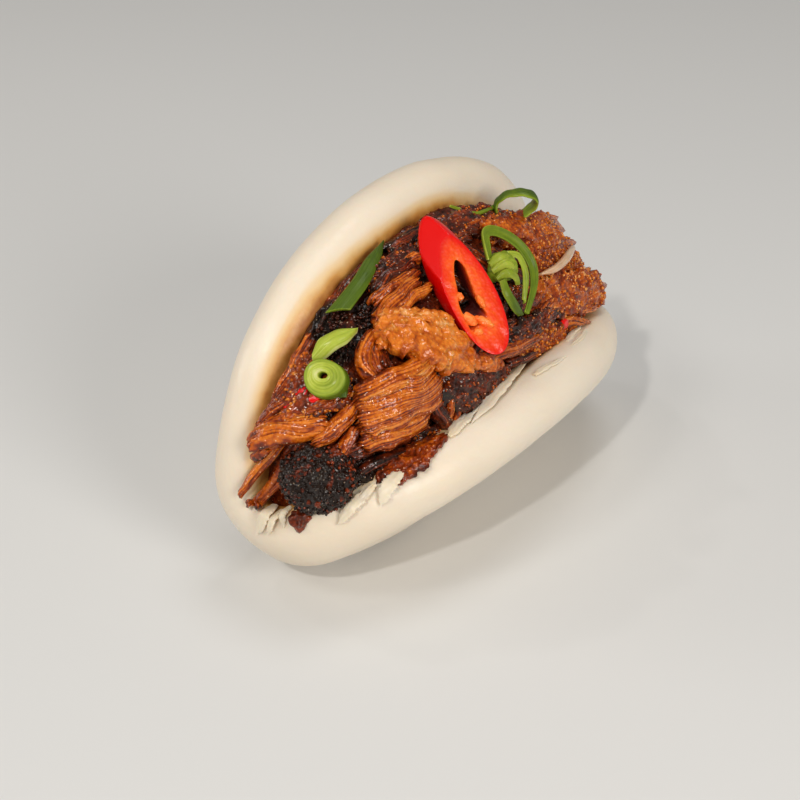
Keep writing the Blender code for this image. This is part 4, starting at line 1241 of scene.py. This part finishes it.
def makeChilli():
    mesh = bmesh.new()
    toneLayer, recessShadeLayer, _ = addLayers(mesh)
    loops, turnLayer = stackLoops(mesh, chilli["sides"], len(chilli["profile"]))
    rim = [Vector(spot) for spot in chilli["cavity"]]
    closed = rim[-1:] + rim + rim[:2]
    tip = chilliPoint(-0.86, 0.05, 0.1)
    shave = chilli["facet"].normalized()
    for ring, (depth, inward, tone, cavityShade) in zip(loops, chilli["profile"]):
        for vert in ring:
            turn = vert[turnLayer] % (2 * math.pi)
            inner = spline(closed, (1 + len(rim) * turn / (2 * math.pi)) / (len(closed) - 1))
            outer = Vector((math.cos(turn), math.sin(turn)))
            x, y = outer.lerp(inner, inward) if inward > 0 else outer * (1 - inward)
            spot = Vector((x * 7, y * 4, depth))
            lift = 0.22 * mm * noise.noise(spot) * (0.05 < inward < 0.99)
            vert.co = chilliPoint(x, y, depth, lift)
            vert.co -= shave * max(0, (vert.co - tip).dot(shave))
            vert[toneLayer] = min(1, tone + 0.10 * noise.noise(spot * 2) * (inward > 0.1))
            vert[recessShadeLayer] = cavityShade
    closeLoops(mesh, loops, turnLayer)
    _, long, face, wide = chilliAxes()
    whole = newWhole()
    gather(whole, mesh)
    for down, across, halfLong, halfWide, turned in chilli["lobes"]:
        lobe = gridBox((11, 9, 5))
        toneLayer = addLayers(lobe)[0]
        middle = chilliPoint(down, across, 0.06)
        turn = math.radians(turned)
        first = long * math.cos(turn) + wide * math.sin(turn)
        second = wide * math.cos(turn) - long * math.sin(turn)
        for vert in lobe.verts:
            shape = vert.co.normalized()
            swell = 1 + 0.3 * noise.noise(shape * 2 + Vector((down * 9, 0, 0)))
            reach = first * shape.x * halfLong + second * shape.y * halfWide
            reach += face * shape.z * chilli["lobeHigh"]
            vert.co = middle + reach * swell * mm
            vert[toneLayer] = 0.95 - 0.12 * abs(shape.y)
        gather(whole, lobe)
    makePiece("chilli_cut", whole, looks["chilli"], "chilli_slice", smoothing=1)


makeChilli()

# small red bits: stops over the heap, half width, half depth
chilliBits = [
    (((-47.6, 0.17, 1.9), (-45.0, 0.23, 2.4)), 1.1, 0.8),
    (((-45.9, 0.27, 1.9), (-43.8, 0.33, 2.3)), 1.1, 0.8),
    (((17.6, 0.88, 2.3), (22.4, 0.895, 2.3)), 1.1, 0.7),
]


# a small rounded piece along a route, sizes in mm
def addPebble(whole, route, width, depth, tone, seed):
    (start, normal), (end, _) = route
    mesh = gridBox((13, 9, 5))
    toneLayer = addLayers(mesh)[0]
    tangent = (end - start).normalized()
    normal = (normal - tangent * normal.dot(tangent)).normalized()
    side = normal.cross(tangent)
    half = (end - start).length / 2 + 0.6 * mm
    centre = (start + end) / 2
    for vert in mesh.verts:
        shape = vert.co.normalized()
        shape = Vector([signedPower(value, 0.8) for value in shape])
        swell = 1 + 0.22 * noise.noise(shape * 1.6 + Vector((seed * 3.1, 0, 0)))
        reach = tangent * shape.x * half + side * shape.y * width * mm + normal * shape.z * depth * mm
        vert.co = centre + reach * swell
        vert[toneLayer] = tone + 0.05 * noise.noise(shape * 3)
    gather(whole, mesh)


for index, (stops, width, depth) in enumerate(chilliBits, start=1):
    whole = newWhole()
    addPebble(whole, crownRoute(stops), width, depth, 0.05, index)
    makePiece(f"chilli_piece_{index}", whole, looks["chilli"], f"chilli_bit_{index}", smoothing=1)
print("chilli made")

# outwards from the open side: the slices and loops of onion are turned to it
facing = Vector((0.49, -0.71, 0.50))


def facingAxes(tilt):
    out = facing.normalized()
    side = Vector((0, 0, 1)).cross(out).normalized()
    up = out.cross(side)
    turn = math.radians(tilt)
    return side * math.cos(turn) + up * math.sin(turn), up * math.cos(turn) - side * math.sin(turn), out


onionRing = {
    "centre": (-43.3, 0.28, 4.2),
    "outer": 3.6 * mm,
    "bore": 0.75 * mm,
    "half": 1.2 * mm,
    "shift": 0.9 * mm,  # the back is shifted sideways, as the stalk was cut at a slant
    "sides": 84,
    # height from -1 to 1, share of the way from outside to the bore, tone
    "profile": [
        (-1.0, 0.04, 0.75), (-0.5, 0.0, 0.7), (0.2, 0.0, 0.66), (0.8, 0.01, 0.6), (1.0, 0.05, 0.44),
        (1.02, 0.14, 0.33), (0.96, 0.20, 0.36), (1.04, 0.32, 0.30), (1.02, 0.46, 0.28), (0.93, 0.53, 0.32),
        (1.02, 0.62, 0.24), (1.0, 0.80, 0.16), (0.94, 0.95, 0.14), (0.7, 1.0, 0.4), (0.0, 1.0, 0.8),
        (-1.0, 0.98, 0.8),
    ],
}


def makeRing():
    mesh = bmesh.new()
    toneLayer, _, grainLayer = addLayers(mesh)
    loops, turnLayer = stackLoops(mesh, onionRing["sides"], len(onionRing["profile"]))
    long, wide, out = facingAxes(0)
    centre = crownSpot(onionRing["centre"])
    for circle, (lift, inward, tone) in zip(loops, onionRing["profile"]):
        for vert in circle:
            turn = vert[turnLayer]
            reach = onionRing["outer"] + (onionRing["bore"] - onionRing["outer"]) * inward
            ripple = 0.05 * math.cos(2 * turn + 0.5) + 0.03 * math.cos(3 * turn)
            reach *= 1 + ripple + 0.02 * math.cos(7 * turn) * inward
            off = Vector((-0.35, 0.55)) * 1.0 * mm * inward
            x = math.cos(turn) * reach + off.x + onionRing["shift"] * (1 - lift) / 2
            y = math.sin(turn) * reach * (1 - 0.25 * inward) + off.y - onionRing["shift"] * (1 - lift) / 3
            vert.co = centre + long * x + wide * y + out * lift * onionRing["half"]
            pale = 0.10 * math.cos(turn - 2.6) * (inward > 0.3)
            vert[toneLayer] = tone - pale
            vert[grainLayer] = Vector((turn * 0.6 * mm, reach, 0.2))
    closeLoops(mesh, loops, turnLayer)
    whole = newWhole()
    gather(whole, mesh)
    makePiece("onion_slice", whole, looks["onion"], "onion_ring", smoothing=1)


makeRing()

onionLoop = {
    "centre": (19.0, 0.22, 4.8),
    "halfLong": 4.5 * mm,
    "halfWide": 3.3 * mm,
    "wall": 0.36 * mm,
    "half": 1.35 * mm,
    "tilt": 14,
    "lean": -42,  # degrees that its axis leans from facing
    "wobble": 0.6 * mm,
    "sides": 96,
    # height from -1 to 1, outwards in half walls, tone
    "profile": [
        (-1.0, 0.0, 0.55), (-0.6, 1, 0.72), (0.0, 1.1, 0.74), (0.6, 1, 0.70), (1.0, 0.1, 0.42),
        (1.0, -0.5, 0.36), (0.6, -1, 0.50), (0.0, -1.05, 0.55), (-0.6, -1, 0.5), (-1.0, -0.5, 0.5),
    ],
}


def makeLoop():
    mesh = bmesh.new()
    toneLayer, _, grainLayer = addLayers(mesh)
    loops, turnLayer = stackLoops(mesh, onionLoop["sides"], len(onionLoop["profile"]))
    long, wide, out = facingAxes(onionLoop["tilt"])
    lean = math.radians(onionLoop["lean"])
    wide, out = wide * math.cos(lean) - out * math.sin(lean), out * math.cos(lean) + wide * math.sin(lean)
    centre = crownSpot(onionLoop["centre"])
    for band, (lift, outward, tone) in zip(loops, onionLoop["profile"]):
        for vert in band:
            turn = vert[turnLayer]
            grow = onionLoop["wall"] * outward - onionLoop["wall"]
            taller = 1 + 0.3 * math.cos(turn)
            x = math.cos(turn) * (onionLoop["halfLong"] + grow)
            y = math.sin(turn) * (onionLoop["halfWide"] + grow) * (1 + 0.12 * math.cos(turn))
            wave = onionLoop["wobble"] * math.sin(2 * turn) + 0.12 * mm * math.sin(9 * turn)
            z = lift * onionLoop["half"] * taller + wave
            vert.co = centre + long * x + wide * y + out * z
            vert[toneLayer] = tone + 0.06 * math.sin(3 * turn)
            vert[grainLayer] = Vector((turn * 4 * mm, lift * onionLoop["half"], 0.4))
    closeLoops(mesh, loops, turnLayer)
    whole = newWhole()
    gather(whole, mesh)
    makePiece("onion_band", whole, looks["onion"], "onion_loop", smoothing=1)


makeLoop()

# leaf strips: node, piece, stops over the heap, half width, half depth, tones at its start and end,
# and what sets it apart
leaves = [
    ("onion_strip", "leaf_strip",
     ((-15.2, 0.03, 2.4), (-21.6, 0.07, 3.0), (-27.1, 0.10, 3.0), (-33.3, 0.11, 2.6)),
     1.75, 0.32, (0.84, 0.72),
     {"taper": (0.7, 1), "roll": 8, "cup": 0.25, "points": (0.85, 0), "slant": -1.5}),
    ("onion_leaf", "leaf_pale",
     ((-34.8, 0.25, 4.4), (-38.0, 0.205, 5.0), (-40.2, 0.175, 4.8), (-42.2, 0.16, 3.8)),
     1.9, 0.6, (0.30, 0.20),
     {"taper": (0.85, 1), "cup": 0.5, "points": (0.9, 0.5), "slant": 0.8, "edge": 0.22}),
    ("onion_tip", "leaf_tip",
     ((-40.6, 0.35, 3.2), (-42.0, 0.45, 2.6)),
     1.5, 0.6, (0.86, 0.78),
     {"taper": (1, 0.7), "cup": 0.3, "points": (0, 0.4)}),
    ("onion_thread", "leaf_thread",
     ((6.5, 0.05, 1.2), (9.5, 0.14, 1.5), (13.0, 0.16, 1.7), (18.0, 0.155, 1.8)),
     0.45, 0.3, (0.46, 0.62),
     {"taper": (0.6, 1), "cup": 0.1, "points": (0.5, 0)}),
    ("onion_curl", "leaf_curl",
     ((-0.8, 0.38, 3.6), (-0.1, 0.33, 4.4), (2.0, 0.28, 4.9), (4.7, 0.29, 5.0), (7.3, 0.35, 5.2),
      (9.0, 0.43, 5.2), (9.2, 0.52, 4.8), (6.6, 0.60, 4.4), (2.3, 0.68, 3.6)),
     1.05, 0.36, (0.50, 0.66),
     {"roll": 20, "cup": -0.35, "points": (0, 0.5), "cuts": (90, 10, 1)}),
    ("onion_sliver", "sliver",
     ((12.4, 0.57, 4.0), (18.9, 0.59, 4.6), (26.7, 0.58, 4.6), (34.1, 0.55, 4.2)),
     0.95, 0.6, (0.5, 0.5),
     {"taper": (0.7, 1), "cup": 0.2, "points": (0.7, 0.4), "edge": 0}),
]


def makeLeaves():
    for seed, (node, name, stops, width, depth, tones, shape) in enumerate(leaves):
        whole = newWhole()
        addBlade(whole, crownRoute(stops), width, depth, seed, tones, **shape)
        slot = "onion_pale" if node == "onion_sliver" else "onion"
        makePiece(name, whole, looks[slot], node, smoothing=1)


makeLeaves()

# a crumpled leaf: its middle, and layers folded over it (stops, half width, tones)
folded = {
    "centre": (1.2, 0.44, 3.6),
    "half": (2.8, 3.1, 1.7),
    "tilt": -25,
    "tone": 0.46,
    "layerDepth": 0.3,
    "layers": [
        (((-1.6, 0.40, 3.8), (0.6, 0.40, 5.6), (3.6, 0.43, 5.4), (5.6, 0.45, 4.2)), 1.1, (0.38, 0.24)),
        (((-1.8, 0.43, 3.6), (0.4, 0.43, 5.8), (3.0, 0.47, 5.4), (4.6, 0.50, 3.8)), 1.0, (0.34, 0.30)),
        (((-1.6, 0.47, 3.4), (0.2, 0.47, 5.4), (2.4, 0.51, 5.0), (3.6, 0.55, 3.6)), 1.0, (0.44, 0.34)),
        (((3.4, 0.40, 5.4), (5.6, 0.44, 6.0), (5.6, 0.53, 5.2), (3.0, 0.63, 3.8)), 0.8, (0.30, 0.46)),
        (((-0.8, 0.49, 4.2), (-1.4, 0.55, 4.4), (-0.4, 0.61, 4.0), (1.6, 0.68, 3.2)), 1.3, (0.52, 0.76)),
    ],
}


def makeFolded():
    whole = newWhole()
    mesh = gridBox((15, 15, 15))
    toneLayer, _, grainLayer = addLayers(mesh)
    centre = crownSpot(folded["centre"])
    axes = facingAxes(folded["tilt"])
    for vert in mesh.verts:
        shape = vert.co.normalized()
        swell = 1 + 0.2 * noise.noise(shape * 2.2)
        shares = zip(axes, shape, folded["half"])
        vert.co = centre + sum((axis * part * half * mm * swell for axis, part, half in shares), Vector())
        vert[toneLayer] = folded["tone"]
        vert[grainLayer] = Vector((shape.x * 3 * mm, shape.y * 2 * mm, 0.7))
    gather(whole, mesh)
    for seed, (stops, width, tones) in enumerate(folded["layers"], start=20):
        addBlade(whole, crownRoute(stops), width, folded["layerDepth"], seed, tones, roll=-10, cup=0.5,
                 points=(0.4, 0.6), slant=0.4, ragged=0.06, edge=0.14)
    makePiece("leaf_fold", whole, looks["onion"], "onion_fold", smoothing=1)


makeFolded()
print("spring onion made")

camera = {
    "place": (0.174987, -0.263350, 0.201202),
    "right": Vector((0.8251135, 0.564967, 0.0)),
    "up": Vector((-0.2824835, 0.41255675, 0.8660254)),
    "lens": 81,
    "sensor": 36,
    "clip": (0.01, 20),  # nearest and farthest, in m
}
cameraData = bpy.data.cameras.new("camera")
cameraData.lens = camera["lens"]
cameraData.sensor_width = camera["sensor"]
cameraData.clip_start, cameraData.clip_end = camera["clip"]
cameraObject = addObject("camera", cameraData)
turned = Matrix((camera["right"], camera["up"], camera["right"].cross(camera["up"]))).transposed()
cameraObject.matrix_world = Matrix.Translation(camera["place"]) @ turned.to_4x4()
bpy.context.scene.camera = cameraObject
bpy.context.scene.view_settings.view_transform = "Standard"

studio = {
    "floor": (0.72, 0.72, 0.71, 1),
    "floorHalf": 3,  # m
    "floorRoughness": 0.7,
    "air": (1.0, 0.97, 0.93, 1),
    "airStrength": 0.24,
    "aim": Vector((0, 0, 0.03)),  # where the lamps point
}
floorMesh = bmesh.new()
bmesh.ops.create_grid(floorMesh, x_segments=1, y_segments=1, size=studio["floorHalf"])
floor = addObject("floor", meshData("floor", floorMesh))
floorLook, floorTree, floorShader = newLook("pale_floor")
setInputs(floorTree, floorShader, {"Base Color": studio["floor"], "Roughness": studio["floorRoughness"]})
floor.data.materials.append(floorLook)

world = bpy.data.worlds.new("studio")
world.use_nodes = True
air = {"Color": studio["air"], "Strength": studio["airStrength"]}
setInputs(world.node_tree, world.node_tree.nodes["Background"], air)
bpy.context.scene.world = world

# place, size in m, power in W, colour
lamps = {
    "key": ((-0.20, -0.62, 0.75), 0.20, 1.1, (1.0, 0.97, 0.93)),
    "top": ((0.05, 0.15, 0.85), 0.35, 1.3, (1.0, 0.99, 0.98)),
    "left": ((-0.75, -0.45, 0.25), 0.35, 1.3, (1.0, 0.97, 0.93)),
    "fill": ((0.75, -0.25, 0.40), 0.35, 3.4, (1.0, 0.97, 0.93)),
    "glint": ((0.15, -0.60, 0.55), 0.04, 1.8, (1.0, 0.96, 0.90)),
    "glintLeft": ((-0.45, -0.10, 0.65), 0.04, 0.25, (1.0, 0.96, 0.90)),
}
for name, (spot, size, power, colour) in lamps.items():
    data = bpy.data.lights.new(name, "AREA")
    data.shape = "DISK"
    data.size = size
    data.energy = power
    data.color = colour
    lamp = addObject(name, data)
    lamp.location = spot
    lamp.rotation_euler = (studio["aim"] - Vector(spot)).to_track_quat("-Z", "Y").to_euler()
print("camera and light set")

bpy.context.view_layer.update()
